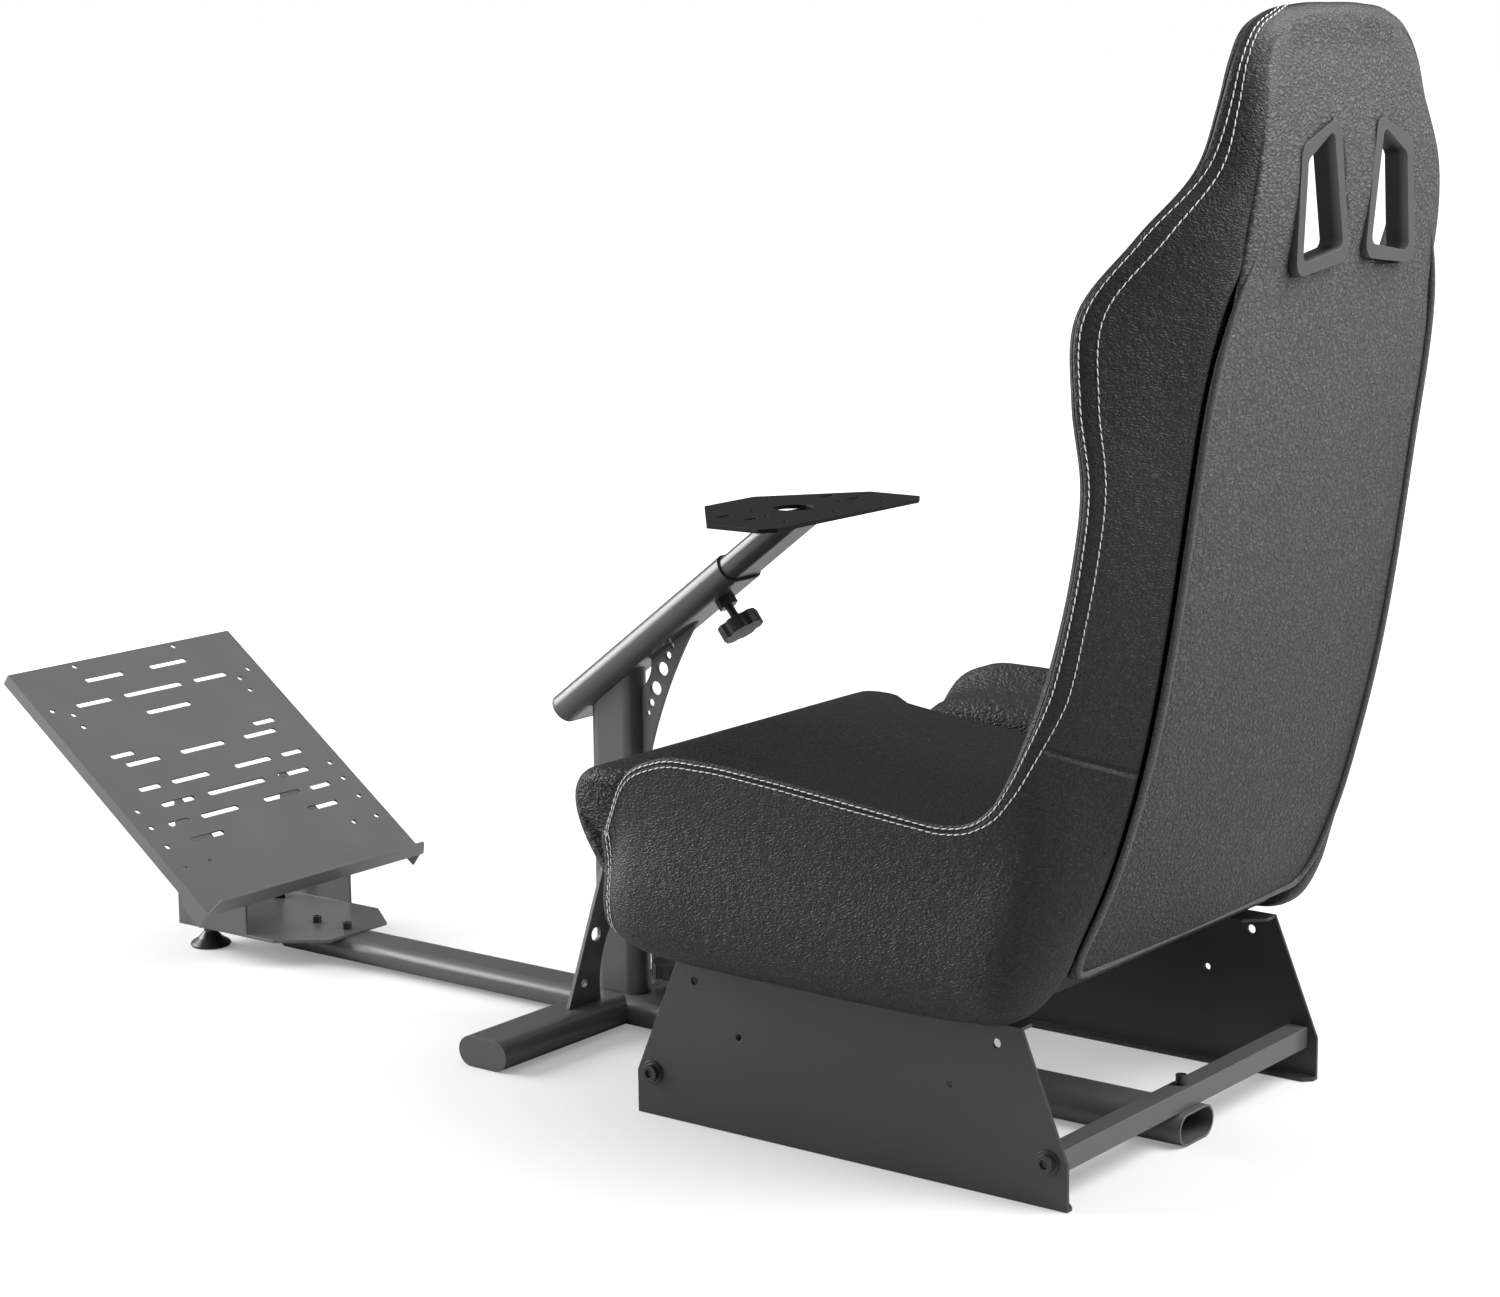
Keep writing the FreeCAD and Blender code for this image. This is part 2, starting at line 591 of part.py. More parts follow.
def clamp_knob(label, along, **where):
    """Hand knob with six lobes on the stud that clamps a sliding tube."""
    body = new_body(label, **where)
    stud = new_sketch(body, "XY_Plane", "tube_height / 2 - tube_wall - slide_gap + stud_gap")
    circle(stud, ("0", along), "stud_radius")
    pad(body, stud, "knob_stand + tube_wall + slide_gap")
    head = new_sketch(body, "XY_Plane", "tube_height / 2 + knob_stand")
    circle(head, ("0", along), "knob_radius")
    pad(body, head, "knob_thick")
    doc.recompute()
    notches = new_sketch(body, "XY_Plane", "tube_height / 2 + knob_stand")
    reach = "(knob_radius + knob_notch_radius / 2)"
    for k in range(6):
        turn = f"(360 / 6 * {k})"
        circle(notches, (f"{reach} * cos({turn})", f"{along} + {reach} * sin({turn})"), "knob_notch_radius")
    cut(body, notches)


def column_inner():
    """Inner column tube, cut level under the wheel plate."""
    body = new_body("column_inner_tube", **COLUMN)
    sketch = new_sketch(body, "XZ_Plane", "column_inset - column_length")
    tube_section(sketch, shrink=INNER)
    reach = "(plate_z - weld_gap - column_low_z) / sin(column_slope)"
    pad(body, sketch, f"{reach} + tube_height - column_length + column_inset", reverse=True)
    doc.recompute()
    trim = new_sketch(body, "YZ_Plane")
    lean = "tube_height / tan(column_slope)"
    polygon(trim, [
        (f"{reach} + {lean}", "tube_height"),
        (f"{reach} - {lean}", "-tube_height"),
        (f"{reach} + 3 * {lean}", "-tube_height"),
        (f"{reach} + 3 * {lean}", "tube_height"),
    ])
    cut(body, trim)


def wheel_plate():
    """Wheel plate: clipped hexagon with a cable hole, slots and small holes."""
    body = new_body("wheel_plate", z="plate_z")
    sketch = new_sketch(body, "XY_Plane")
    right = [
        ("plate_front_half", "plate_front_y"),
        ("plate_half", "plate_wide_y"),
        ("plate_half", "plate_clip_y"),
        ("plate_rear_half", "plate_rear_y"),
    ]
    polygon(sketch, right + [(f"-{x}", y) for x, y in reversed(right)])
    pad(body, sketch, "plate_thick")
    doc.recompute()
    holes = new_sketch(body, "XY_Plane")
    circle(holes, ("0", "plate_bore_y"), "plate_bore_radius")
    circle(holes, ("0", "plate_hole_rear_y"), "plate_hole_radius")
    for side, s in SIDES:
        for y in ("plate_slot_front_y", "plate_slot_rear_y"):
            stadium(holes, (f"{s} * plate_slot_x", y), "plate_slot_length", "plate_slot_width")
        for x, y in (
            ("plate_hole_x", "plate_hole_front_y"),
            ("plate_hole_x", "plate_slot_front_y"),
            ("plate_hole_mid_x", "plate_slot_rear_y"),
            ("plate_hole_rear_x", "plate_hole_rear_y"),
        ):
            circle(holes, (f"{s} * {x}", y), "plate_hole_radius")
    cut(body, holes)


def pedal_tube():
    """Pedal tube that slides in the floor tube."""
    body = new_body("pedal_tube", y="pedal_end_y", z="tube_height / 2")
    sketch = new_sketch(body, "XZ_Plane")
    tube_section(sketch, shrink=INNER)
    pad(body, sketch, f"pedal_end_y - ({MOUTH_Y}) + pedal_inset")


PEDAL_TOP = "(tube_height - tube_wall - slide_gap + weld_gap)"
DECK_UNDER = (
    "deck_heel_z - deck_sheet / cos(deck_tilt) - weld_gap / cos(deck_tilt)"
    " + (({}) - deck_heel_y) * tan(deck_tilt)"
)


def pedal_bracket():
    """Folded bracket: a clipped base on the pedal tube and two walls under the plate."""
    body = new_body("pedal_bracket", z=PEDAL_TOP)
    base = new_sketch(body, "XY_Plane")
    right = [
        ("bracket_rear_half", "bracket_rear_y"),
        ("bracket_half", "bracket_clip_y"),
        ("bracket_half", "bracket_front_y"),
    ]
    polygon(base, right + [(f"-{x}", y) for x, y in reversed(right)])
    pad(body, base, "bracket_sheet")
    for side, s in SIDES:
        lift = "bracket_half - bracket_sheet" if s > 0 else "-bracket_half"
        wall = new_sketch(body, "YZ_Plane", lift)
        polygon(wall, [
            ("bracket_wall_y", "0"),
            ("bracket_front_y", "0"),
            ("bracket_front_y", DECK_UNDER.format("bracket_front_y") + f" - {PEDAL_TOP}"),
            ("bracket_wall_y", DECK_UNDER.format("bracket_wall_y") + f" - {PEDAL_TOP}"),
        ])
        pad(body, wall, "bracket_sheet")
    doc.recompute()
    holes = new_sketch(body, "XY_Plane")
    for k in range(2):
        circle(holes, ("0", f"bracket_bolt_y + {k} * bracket_bolt_pitch"), "bolt_radius + weld_gap")
    for side, s in SIDES:
        circle(holes, (f"{s} * foot_x", "foot_reach_y"), "foot_thread_radius + stud_gap")
    cut(body, holes)


def pedal_plate():
    """Slotted pedal plate with turned-down edges and a heel stop."""
    body = new_body("pedal_plate", y="deck_heel_y", z="deck_heel_z", turn="deck_tilt")
    panel = new_sketch(body, "XY_Plane", "-deck_sheet")
    ends = ("0", "deck_length")
    low, high = ([(f"{s} * deck_half", end) for side, s in SIDES] for end in ends)
    polygon(panel, low + high[::-1])
    pad(body, panel, "deck_sheet")
    for side, s in SIDES:
        edge = new_sketch(body, "YZ_Plane", "deck_half - deck_sheet" if s > 0 else "-deck_half")
        polygon(edge, [
            ("0", "0"),
            ("0", "-deck_tab"),
            ("deck_tab_length", "-deck_tab"),
            ("deck_tab_length + deck_tab - deck_flange", "-deck_flange"),
            ("deck_length", "-deck_flange"),
            ("deck_length", "0"),
        ])
        pad(body, edge, "deck_sheet")
    lip = new_sketch(body, "XZ_Plane")
    polygon(lip, [
        ("-deck_half", "-deck_sheet"),
        ("deck_half", "-deck_sheet"),
        ("deck_half", "0"),
        ("deck_half - deck_lip_clip", "deck_lip"),
        ("-deck_half + deck_lip_clip", "deck_lip"),
        ("-deck_half", "0"),
    ])
    pad(body, lip, "deck_sheet")
    doc.recompute()
    slots = new_sketch(body, "XY_Plane")
    for up, length in DECK_MIDDLE_SLOTS:
        stadium(slots, ("0", str(up)), str(length), "deck_slot_width")
    cut(body, slots)
    for side, s in SIDES:
        slots = new_sketch(body, "XY_Plane")
        for across, up, length in DECK_SIDE_SLOTS:
            stadium(slots, (f"{s} * {across}", str(up)), str(length), "deck_slot_width")
        for across, up in DECK_HOLES:
            circle(slots, (f"{s} * {across}", str(up)), "deck_hole_radius")
        cut(body, slots)


def screw(name, place, seat, radius, height, shank_radius, shank, hollow_head=True):
    """Headed screw standing on a seat, its shank going down."""
    body = doc.addObject("PartDesign::Body", name)
    for axis, text in zip("xyz", (*place, seat)):
        bind(body, f"Placement.Base.{axis}", text)
    head = new_sketch(body, "XY_Plane")
    circle(head, ("0", "0"), radius)
    pad(body, head, height)
    stem = new_sketch(body, "XY_Plane")
    circle(stem, ("0", "0"), shank_radius)
    pad(body, stem, shank, reverse=True)
    doc.recompute()
    if hollow_head:
        socket = new_sketch(body, "XY_Plane", height)
        hexagon(socket, ("0", "0"), f"({radius})")
        feature = body.newObject("PartDesign::Pocket", f"{name}_socket")
        feature.Profile = socket
        bind(feature, "Length", f"({height}) / 2")
    return body


def pedal_bolts():
    """Socket bolts that hold the bracket on the pedal tube."""
    seat = f"{PEDAL_TOP} + bracket_sheet + weld_gap"
    shank = "bracket_sheet + 2 * weld_gap"
    bolts = []
    for k in range(2):
        place = ("0", f"bracket_bolt_y + {k} * bracket_bolt_pitch")
        head = ("bolt_head_radius", "bolt_head_height")
        bolts.append(screw(f"bolt_{k}", place, seat, *head, "bolt_radius", shank))
    group("pedal_bracket_bolts", bolts)


def levelling_foot(side, s):
    """Bell-shaped levelling foot on a stud through the bracket, turned from one profile."""
    body = new_body(f"pedal_foot_{side}", x=f"{s} * foot_x", y="foot_reach_y")
    sketch = new_sketch(body, "XZ_Plane")
    top = f"{PEDAL_TOP} + bracket_sheet + foot_thread_over"
    bell = "(foot_height - foot_rim)"
    polygon(sketch, [
        ("0", "0"),
        ("foot_radius - foot_rim / 4", "0"),
        ("foot_radius", "foot_rim / 2"),
        ("foot_radius - foot_rim / 4", "foot_rim"),
        ("(foot_radius + foot_neck_radius) / 2 - foot_rim / 4", f"foot_rim + {bell} * foot_bell_share"),
        ("foot_neck_radius", f"foot_rim + {bell} * foot_neck_share"),
        ("foot_neck_radius", "foot_height"),
        ("foot_thread_radius", "foot_height"),
        ("foot_thread_radius", top),
        ("0", top),
    ])
    feature = body.newObject("PartDesign::Revolution", f"{body.Name}_turn")
    feature.Profile = sketch
    feature.ReferenceAxis = (sketch, ["V_Axis"])
    feature.Angle = 360
    doc.recompute()
    nut = new_sketch(body, "XY_Plane", f"{PEDAL_TOP} + bracket_sheet + stud_gap")
    hexagon(nut, ("0", "0"), "foot_nut_across")
    pad(body, nut, "foot_nut_height")


def side_plate(side, s):
    """Seat side plate: a clipped sheet with turned-in top and bottom edges."""
    body = new_body(f"seat_plate_{side}", x=f"{s} * side_half", y="seat_rear_y")
    sketch = new_sketch(body, "YZ_Plane")
    polygon(sketch, [
        ("0", "0"),
        ("side_length", "0"),
        ("side_length", "side_shoulder"),
        ("side_top_front", "side_height"),
        ("side_top_rear", "side_height"),
        ("0", "side_shoulder"),
    ])
    pad(body, sketch, "side_sheet", reverse=s > 0)
    for ends, width, lift in (
        (("side_top_rear", "side_top_front"), "side_flange", "side_height - side_sheet"),
        (("0", "side_length"), "side_foot_flange", "0"),
    ):
        edge = new_sketch(body, "XY_Plane", lift)
        near, far = "0", f"{-s} * {width}"
        clip = f"{width} * flange_clip"
        polygon(edge, [
            (near, ends[0]),
            (near, ends[1]),
            (f"{far} * (1 - flange_clip)", ends[1]),
            (far, f"{ends[1]} - {clip}"),
            (far, f"{ends[0]} + {clip}"),
            (f"{far} * (1 - flange_clip)", ends[0]),
        ])
        pad(body, edge, "side_sheet")
    doc.recompute()
    holes = new_sketch(body, "YZ_Plane")
    for level in ("high", "low"):
        for end in ("rear", "front"):
            circle(holes, (f"side_hole_{level}_{end}", f"side_hole_{level}_z"), f"side_hole_{level}_radius")
    for y in ("bar_inset", "bar_front"):
        circle(holes, (y, "tube_height + bar_side / 2"), "bolt_radius + weld_gap")
    cut(body, holes)


def cross_bar(label, place):
    """Square cross bar between the side plates, resting on the floor tube."""
    body = new_body(label, y=f"seat_rear_y + {place}", z="tube_height + bar_side / 2")
    sketch = new_sketch(body, "YZ_Plane")
    for side in ("bar_side - 2 * weld_gap", "bar_side - 2 * bar_wall"):
        half = f"({side}) / 2"
        polygon(sketch, [(f"{a} * {half}", f"{b} * {half}") for a, b in ((-1, -1), (1, -1), (1, 1), (-1, 1))])
    pad(body, sketch, "2 * (side_half - side_sheet - weld_gap)", middle=True)
    doc.recompute()
    drill = new_sketch(body, "XY_Plane")
    circle(drill, ("0", "0"), "bolt_radius + weld_gap")
    cut(body, drill)


def plate_bolts():
    """Button-head bolts through the side plates into the cross bars."""
    bolts = []
    for side, s in SIDES:
        for k, y in enumerate(("bar_inset", "bar_front")):
            body = doc.addObject("PartDesign::Body", f"button_{side}_{k}")
            bind(body, "Placement.Base.x", f"{s} * (side_half + weld_gap)")
            bind(body, "Placement.Base.y", f"seat_rear_y + {y}")
            bind(body, "Placement.Base.z", "tube_height + bar_side / 2")
            washer = new_sketch(body, "YZ_Plane")
            circle(washer, ("0", "0"), "washer_radius")
            pad(body, washer, "washer_thick", reverse=s < 0)
            head = new_sketch(body, "YZ_Plane")
            circle(head, ("0", "0"), "button_radius")
            pad(body, head, "washer_thick + button_height", reverse=s < 0)
            stem = new_sketch(body, "YZ_Plane")
            circle(stem, ("0", "0"), "bolt_radius")
            pad(body, stem, "side_sheet + bar_side / 2", reverse=s > 0)
            doc.recompute()
            socket = new_sketch(body, "YZ_Plane", f"{s} * (washer_thick + button_height)")
            hexagon(socket, ("0", "0"), "button_radius")
            feature = body.newObject("PartDesign::Pocket", f"{body.Name}_socket")
            feature.Profile = socket
            feature.Reversed = s < 0
            bind(feature, "Length", "button_height / 2")
            bolts.append(body)
    group("seat_plate_bolts", bolts)


def bar_bolts():
    """Bolts that hold the cross bars on the floor tube."""
    bolts = []
    for k, y in enumerate(("bar_inset", "bar_front")):
        place = ("0", f"seat_rear_y + {y}")
        seat = "tube_height + bar_side"
        shank = "bar_side - weld_gap"
        head = ("bolt_head_radius", "stub_height")
        bolts.append(screw(f"stub_{k}", place, seat, *head, "bolt_radius", shank, False))
    group("cross_bar_bolts", bolts)


def rise(name):
    """Formulas for a station's rise from root to crest: along Y, along Z and in all."""
    along, up = (f"({name}_crest_{a} - {name}_root_{a})" for a in "yz")
    return along, up, f"sqrt({along} * {along} + {up} * {up})"


def station_sketch(body, name):
    """Sketch in a station's leaning plane: X across, and up from the root to the crest."""
    along, up, depth = rise(name)
    turn = f"-atan2({along}; {up})"
    sketch = new_sketch(body, "XZ_Plane", f"-{name}_root_y")
    offset = sketch.AttachmentOffset
    offset.Rotation = FreeCAD.Rotation(FreeCAD.Vector(1, 0, 0), value(turn))
    sketch.AttachmentOffset = offset
    bind(sketch, "AttachmentOffset.Rotation.Angle", turn)
    bind(sketch, "AttachmentOffset.Base.y", f"{name}_root_z")
    return sketch


def station_point(name, height):
    """Place in the side view, a height above a station's root."""
    along, up, depth = rise(name)
    return (f"{name}_root_y + {height} * {along} / {depth}", f"{name}_root_z + {height} * {up} / {depth}")


def loft(body, sections):
    """Skin a row of sections smoothly."""
    feature = body.newObject("PartDesign::AdditiveLoft", f"{body.Name}_loft")
    feature.Profile = sections[0]
    feature.Sections = sections[1:]


def span(start, end):
    """Distance between two places."""
    across, up = (f"(({b}) - ({a}))" for a, b in zip(start, end))
    return f"sqrt({across} * {across} + {up} * {up})"


def bow(share, start, end):
    """Radius of an arc as a share of the chord between two places."""
    return f"{share} * {span(start, end)}"


def seat_side(side, s):
    """Wing and bolster of one side, lofted over bowed sections that fan round the hip."""
    body = new_body(f"seat_side_{side}")
    sections = []
    for name in STATION_NAMES:
        depth = rise(name)[2]
        inner = f"{s} * ({name}_inner_x + seat_gap)"
        roll = f"{name}_crest_x - ({name}_crest_x - {name}_inner_x) * roll_share"
        root = (f"{s} * {name}_root_x", "0")
        crest = (f"{s} * {name}_crest_x", depth)
        top = (f"{s} * ({roll})", f"max({depth} + nose_rise; {name}_pad + nose_rise / 2)")
        corner = (inner, f"{name}_pad")
        sketch = station_sketch(body, name)
        polygon(sketch, [(inner, "0"), root, crest, top, corner], {
            1: (bow("flank_bow", root, crest), -s),
            2: (bow("roll_bow", crest, top), -s),
            3: (bow("slope_bow", top, corner), -s),
        })
        sections.append(sketch)
    loft(body, sections)


def back_layer(label, low, high):
    """One layer of the backrest between the sides, from one depth to another."""
    body = new_body(label)
    sections = []
    for name in BACK:
        half = f"({name}_inner_x - back_gap)"
        sketch = station_sketch(body, name)
        base, top = low.format(name), high.format(name)
        polygon(sketch, [(f"-{half}", base), (half, base), (half, top), (f"-{half}", top)])
        sections.append(sketch)
    loft(body, sections)
    doc.recompute()
    openings = new_sketch(body, "XZ_Plane")
    for side, s in SIDES:
        belt_outline(openings, s, "seat_gap", "bezel_outer_reach")
    cut(body, openings)


def toward(start, end, reach):
    """Place a reach away from one place, on the way to another."""
    return tuple(f"{a} + (({b}) - ({a})) * {reach} / {span(start, end)}" for a, b in zip(start, end))


def belt_outline(sketch, s, grow, reach):
    """Four-cornered harness opening of one side, grown all round, its corners rounded."""
    corners = [
        (f"{s} * (belt_inner_low_x - ({grow}))", f"(belt_inner_low_z - ({grow}))"),
        (f"{s} * (belt_outer_low_x + ({grow}))", f"(belt_outer_low_z - ({grow}))"),
        (f"{s} * (belt_outer_high_x + ({grow}))", f"(belt_outer_high_z + ({grow}))"),
        (f"{s} * (belt_inner_high_x - ({grow}))", f"(belt_inner_high_z + ({grow}))"),
    ]
    points = []
    arcs = {}
    for k, corner in enumerate(corners):
        beside = (corners[k - 1], corners[k + 1 - len(corners)])
        ends = [toward(corner, other, reach) for other in beside]
        arcs[len(points)] = (bow("corner_bow", *ends), -s)
        points += ends
    polygon(sketch, points, arcs)


def harness_bezel(side, s):
    """Trim that lines a harness opening from the back cover through to the front."""
    body = new_body(f"harness_bezel_{side}", y="neck_3_root_y - bezel_proud")
    sketch = new_sketch(body, "XZ_Plane")
    belt_outline(sketch, s, "0", "bezel_outer_reach")
    belt_outline(sketch, s, "-bezel_rim", "bezel_inner_reach")
    pad(body, sketch, "bezel_proud + neck_3_pad", reverse=True)


SEAT_Z = "side_height + seat_gap"


def seat_cushion():
    """Seat cushion between the wings, its front edge rolled over to the nose."""
    body = new_body("seat_cushion")
    sketch = new_sketch(body, "YZ_Plane")
    polygon(sketch, [
        ("cushion_low_front_y", SEAT_Z),
        ("cushion_front_y", "cushion_nose_z"),
        ("cushion_crest_y", "cushion_crest_z"),
        station_point("thigh_3", "thigh_3_pad"),
        station_point("hip_3", "hip_3_pad"),
        station_point("hip_4", "(hip_4_pad - seat_gap)"),
        station_point("hip_4", "0"),
        station_point("hip_3", "0"),
        ("cushion_low_rear_y", SEAT_Z),
    ], {1: ("cushion_nose_radius", -1)})
    pad(body, sketch, "2 * cushion_half", middle=True)


fill_sheet()
floor_tube()
for side, s in SIDES:
    cross_foot(side, s)
foot_caps()
post()
for side, s in SIDES:
    post_brace(side, s)
column_outer()
column_cap()
column_web()
clamp_boss("column_boss", "column_length - boss_from_mouth", **COLUMN)
column_inner()
wheel_plate()
clamp_knob("column_knob", "column_length - boss_from_mouth", **COLUMN)
clamp_boss("floor_tube_boss", "0", y="tube_knob_y", z="tube_height / 2")
clamp_knob("floor_tube_knob", "0", y="tube_knob_y", z="tube_height / 2")
pedal_tube()
pedal_bracket()
pedal_plate()
pedal_bolts()
for side, s in SIDES:
    levelling_foot(side, s)
for side, s in SIDES:
    side_plate(side, s)
cross_bar("rear_cross_bar", "bar_inset")
cross_bar("front_cross_bar", "bar_front")
plate_bolts()
bar_bolts()
for side, s in SIDES:
    seat_side(side, s)
seat_cushion()
back_layer("seat_back_panel", "0", "panel_thick")
back_layer("seat_back_cushion", "panel_thick + seat_gap", "{}_pad")
for side, s in SIDES:
    harness_bezel(side, s)
doc.recompute()

for item in doc.Objects:
    if "Invalid" in item.State or "Error" in item.State:
        raise RuntimeError(f"{item.Label} failed: {item.State}")
for piece in PIECES:
    if piece.Shape.isNull() or not piece.Shape.isValid():
        raise RuntimeError(f"{piece.Label} has no valid shape")
os.makedirs("parts", exist_ok=True)
for piece in PIECES:
    piece.Shape.exportStep(f"parts/{piece.Label}.step")
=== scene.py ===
import math
from collections import namedtuple

import bpy
import numpy as np
from mathutils import Matrix, Vector


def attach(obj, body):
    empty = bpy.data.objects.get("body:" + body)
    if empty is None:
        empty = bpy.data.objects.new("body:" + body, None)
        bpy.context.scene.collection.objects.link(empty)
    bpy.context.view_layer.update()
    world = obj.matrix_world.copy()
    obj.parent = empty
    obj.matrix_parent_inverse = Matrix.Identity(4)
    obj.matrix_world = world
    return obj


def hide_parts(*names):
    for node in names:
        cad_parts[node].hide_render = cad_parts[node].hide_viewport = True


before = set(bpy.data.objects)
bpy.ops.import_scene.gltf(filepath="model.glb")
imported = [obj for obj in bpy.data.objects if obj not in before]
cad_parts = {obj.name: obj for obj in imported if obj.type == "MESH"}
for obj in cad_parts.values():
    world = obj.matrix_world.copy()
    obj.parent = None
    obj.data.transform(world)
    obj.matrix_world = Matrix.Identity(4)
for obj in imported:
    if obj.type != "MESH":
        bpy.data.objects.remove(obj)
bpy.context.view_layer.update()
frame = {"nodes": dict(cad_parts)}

bl_info = {
    "name": "Sim Racing Cockpit Looks",
    "version": (1, 0, 0),
    "blender": (4, 5, 0),
    "location": "View3D > Sidebar > Cockpit",
    "description": "Upholstery, finishes and stage of a sim racing cockpit",
    "category": "Object",
}

MM = 0.001
MIRROR = np.array([-1, 1, 1])

# Seat sections in millimetres, from the thigh wing's front, round the hip and up to the
# middle of the crown: root Y and Z, crest Y and Z, half widths at the cushion and at the
# crest, depth of the padding, and the turn of the section over the crown in degrees.
SECTIONS = np.array([
    (-167, 174, -163, 268, 204, 258, 78, 0),
    (-192, 164, -189, 319, 204, 265, 136, 0),
    (-233, 159, -228, 341, 204, 267, 146, 0),
    (-288, 157, -279, 345, 204, 267, 146, 0),
    (-351, 156, -344, 341, 204, 267, 142, 0),
    (-420, 155, -406, 335, 204, 267, 139, 0),
    (-489, 155, -455, 330, 204, 267, 135, 0),
    (-545, 157, -497, 326, 204, 267, 130, 0),
    (-587, 165, -531, 324, 204, 267, 122, 0),
    (-614, 194, -558, 328, 203, 267, 104, 0),
    (-633, 233, -579, 341, 201, 267, 89, 0),
    (-652, 278, -597, 365, 197, 267, 80, 0),
    (-671, 338, -615, 397, 193, 267, 72, 0),
    (-690, 414, -633, 438, 191, 267, 65, 0),
    (-704, 490, -648, 487, 190, 267, 62, 0),
    (-714, 558, -662, 549, 189, 267, 59, 0),
    (-723, 622, -670, 616, 188, 267, 52, 0),
    (-733, 686, -661, 683, 186, 267, 38, 0),
    (-744, 750, -659, 749, 174, 259, 25, 0),
    (-754, 811, -690, 809, 143, 222, 20, 0),
    (-757, 865, -718, 864, 119, 174, 18, 0),
    (-752, 909, -726, 912, 110, 157, 20, 0),
    (-748, 933, -730, 944, 105, 147, 23, 14),
    (-746, 943, -731, 967, 97, 129, 25, 38),
    (-744, 949, -732, 981, 80, 98, 25, 62),
    (-743, 953, -732, 987, 48, 54, 24, 80),
    (-743, 954, -732, 988, 0, 0, 24, 90),
], float)
WING_END = 8
BACK_START = 9
NECK = 20
HEAD = 22

# Outlines of a bolster's section on the wing, on the back, at the neck and round the head:
# share of its width, share of its crest height, share of the padding's depth, and millimetres.
WING_RING = [
    (0.02, 0, 1, -4), (0.02, 0, 0.6, 0), (0.03, 0, 0, 10), (0.10, 0, 0, -1),
    (0.48, 0, 0, -2), (0.88, 0.01, 0, -1), (1.04, 0.18, 0, 0), (1.03, 0.41, 0, 0),
    (0.91, 0.66, 0, 0), (0.95, 0.89, 0, 0), (1.01, 1.03, 0, 2), (0.90, 1.01, 0, 1),
    (0.62, 0.90, 0, -1), (0.26, 0.50, 0.45, 3),
]
BACK_RING = [
    (0.03, 0, 1, -3), (0.02, 0, 0.5, 0), (0.02, 0, 0, 11), (0.05, 0, 0, 5),
    (0.13, 0.03, 0, 4), (0.34, 0.24, 0, 3), (0.58, 0.47, 0, 1), (0.80, 0.70, 0, 0),
    (0.95, 0.87, 0, 0), (1.01, 0.97, 0, 0), (1.01, 1, 0, 7), (0.90, 1, 0, 15),
    (0.64, 0.6, 0.4, 17), (0.28, 0.1, 0.9, 10),
]
NECK_RING = [
    (0.03, 0, 1, -3), (0.02, 0, 0.5, 0), (0.02, 0, 0, 8), (0.05, 0, 0, 2),
    (0.22, 0, 0, 0), (0.48, 0, 0, 0), (0.70, 0.16, 0, 0), (0.86, 0.45, 0, 0),
    (0.96, 0.74, 0, 0), (1.01, 0.96, 0, 0), (1.01, 1, 0, 8), (0.90, 0.9, 0.1, 15),
    (0.64, 0.5, 0.5, 14), (0.30, 0.05, 0.95, 7),
]
HEAD_RING = [
    (0.03, 0, 1, -3), (0.02, 0, 0.5, 0), (0.02, 0, 0, 6), (0.05, 0, 0, 0.5),
    (0.22, 0, 0, 0), (0.46, 0, 0, 0), (0.68, 0.18, 0, 0), (0.85, 0.48, 0, 0),
    (0.96, 0.76, 0, 0), (1.01, 0.98, 0, 0), (1.00, 1, 0, 8), (0.90, 0.7, 0.3, 13),
    (0.66, 0.3, 0.7, 9), (0.33, 0, 1, 4),
]
CREST = 10
RING_POINTS = 64

# Side view of the seat cushion, Y and Z in metres, from its underside round the nose.
CUSHION_RING = np.array([
    (-0.300, 0.1545), (-0.200, 0.1545), (-0.172, 0.160), (-0.124, 0.216), (-0.096, 0.256),
    (-0.088, 0.290), (-0.100, 0.315), (-0.140, 0.3185), (-0.220, 0.309), (-0.320, 0.301),
    (-0.420, 0.292), (-0.500, 0.284), (-0.545, 0.280), (-0.580, 0.294), (-0.592, 0.262),
    (-0.609, 0.204), (-0.590, 0.172), (-0.552, 0.1555), (-0.450, 0.1545),
])

# Edge of the rear cover over the neck and the head, half width and Z in metres.
COVER_EDGE = np.array([
    (0.170, 0.753), (0.168, 0.787), (0.165, 0.822), (0.157, 0.860), (0.143, 0.898),
    (0.131, 0.929), (0.119, 0.951), (0.098, 0.968), (0.058, 0.977), (0.0, 0.979),
])

# Corners of the right harness opening, X and Z in metres.
HARNESS = np.array([(0.014, 0.782), (0.104, 0.772), (0.097, 0.876), (0.033, 0.899)])
HARNESS_CORNER = 0.018
HARNESS_GAP = 0.0006
HARNESS_CUT = (-0.80, -0.60)

# Places on the bolsters' leather in metres: the shoulder's coarse insert between two heights,
# the wing's ahead of a Y and below a Z, how far either starts from the seam, the cross seam's
# Y, Z and slope behind a Y, and the heights where the head's rear and crown turn paler, in the
# back leather's tint and partly painted light on the lit rear-facing surfaces.
SHOULDER_INSERT = (0.607, 0.792)
WING_INSERT = (-0.50, 0.40)
SHOULDER_START = 0.004
WING_START = 0.012
INSERT_BLEND = 0.006
CROSS_SEAM = (-0.66, 0.385, 0.55)
CROSS_SEAM_FRONT = -0.55
PAINTED_LIGHT_REAR = 0.765
PAINTED_LIGHT_CROWN = 0.955

# Seam along the roll, as shares of the way from a wing's front to the crown: where the two
# rows part, close in again and come forward, each with its stretch, and how far round the
# section the seam starts.
SEAM_PARTS = (0.34, 0.14)
SEAM_CLOSES = (0.78, 0.16)
SEAM_OVER = (0.925, 0.05)
SEAM_FOOT = 0.53

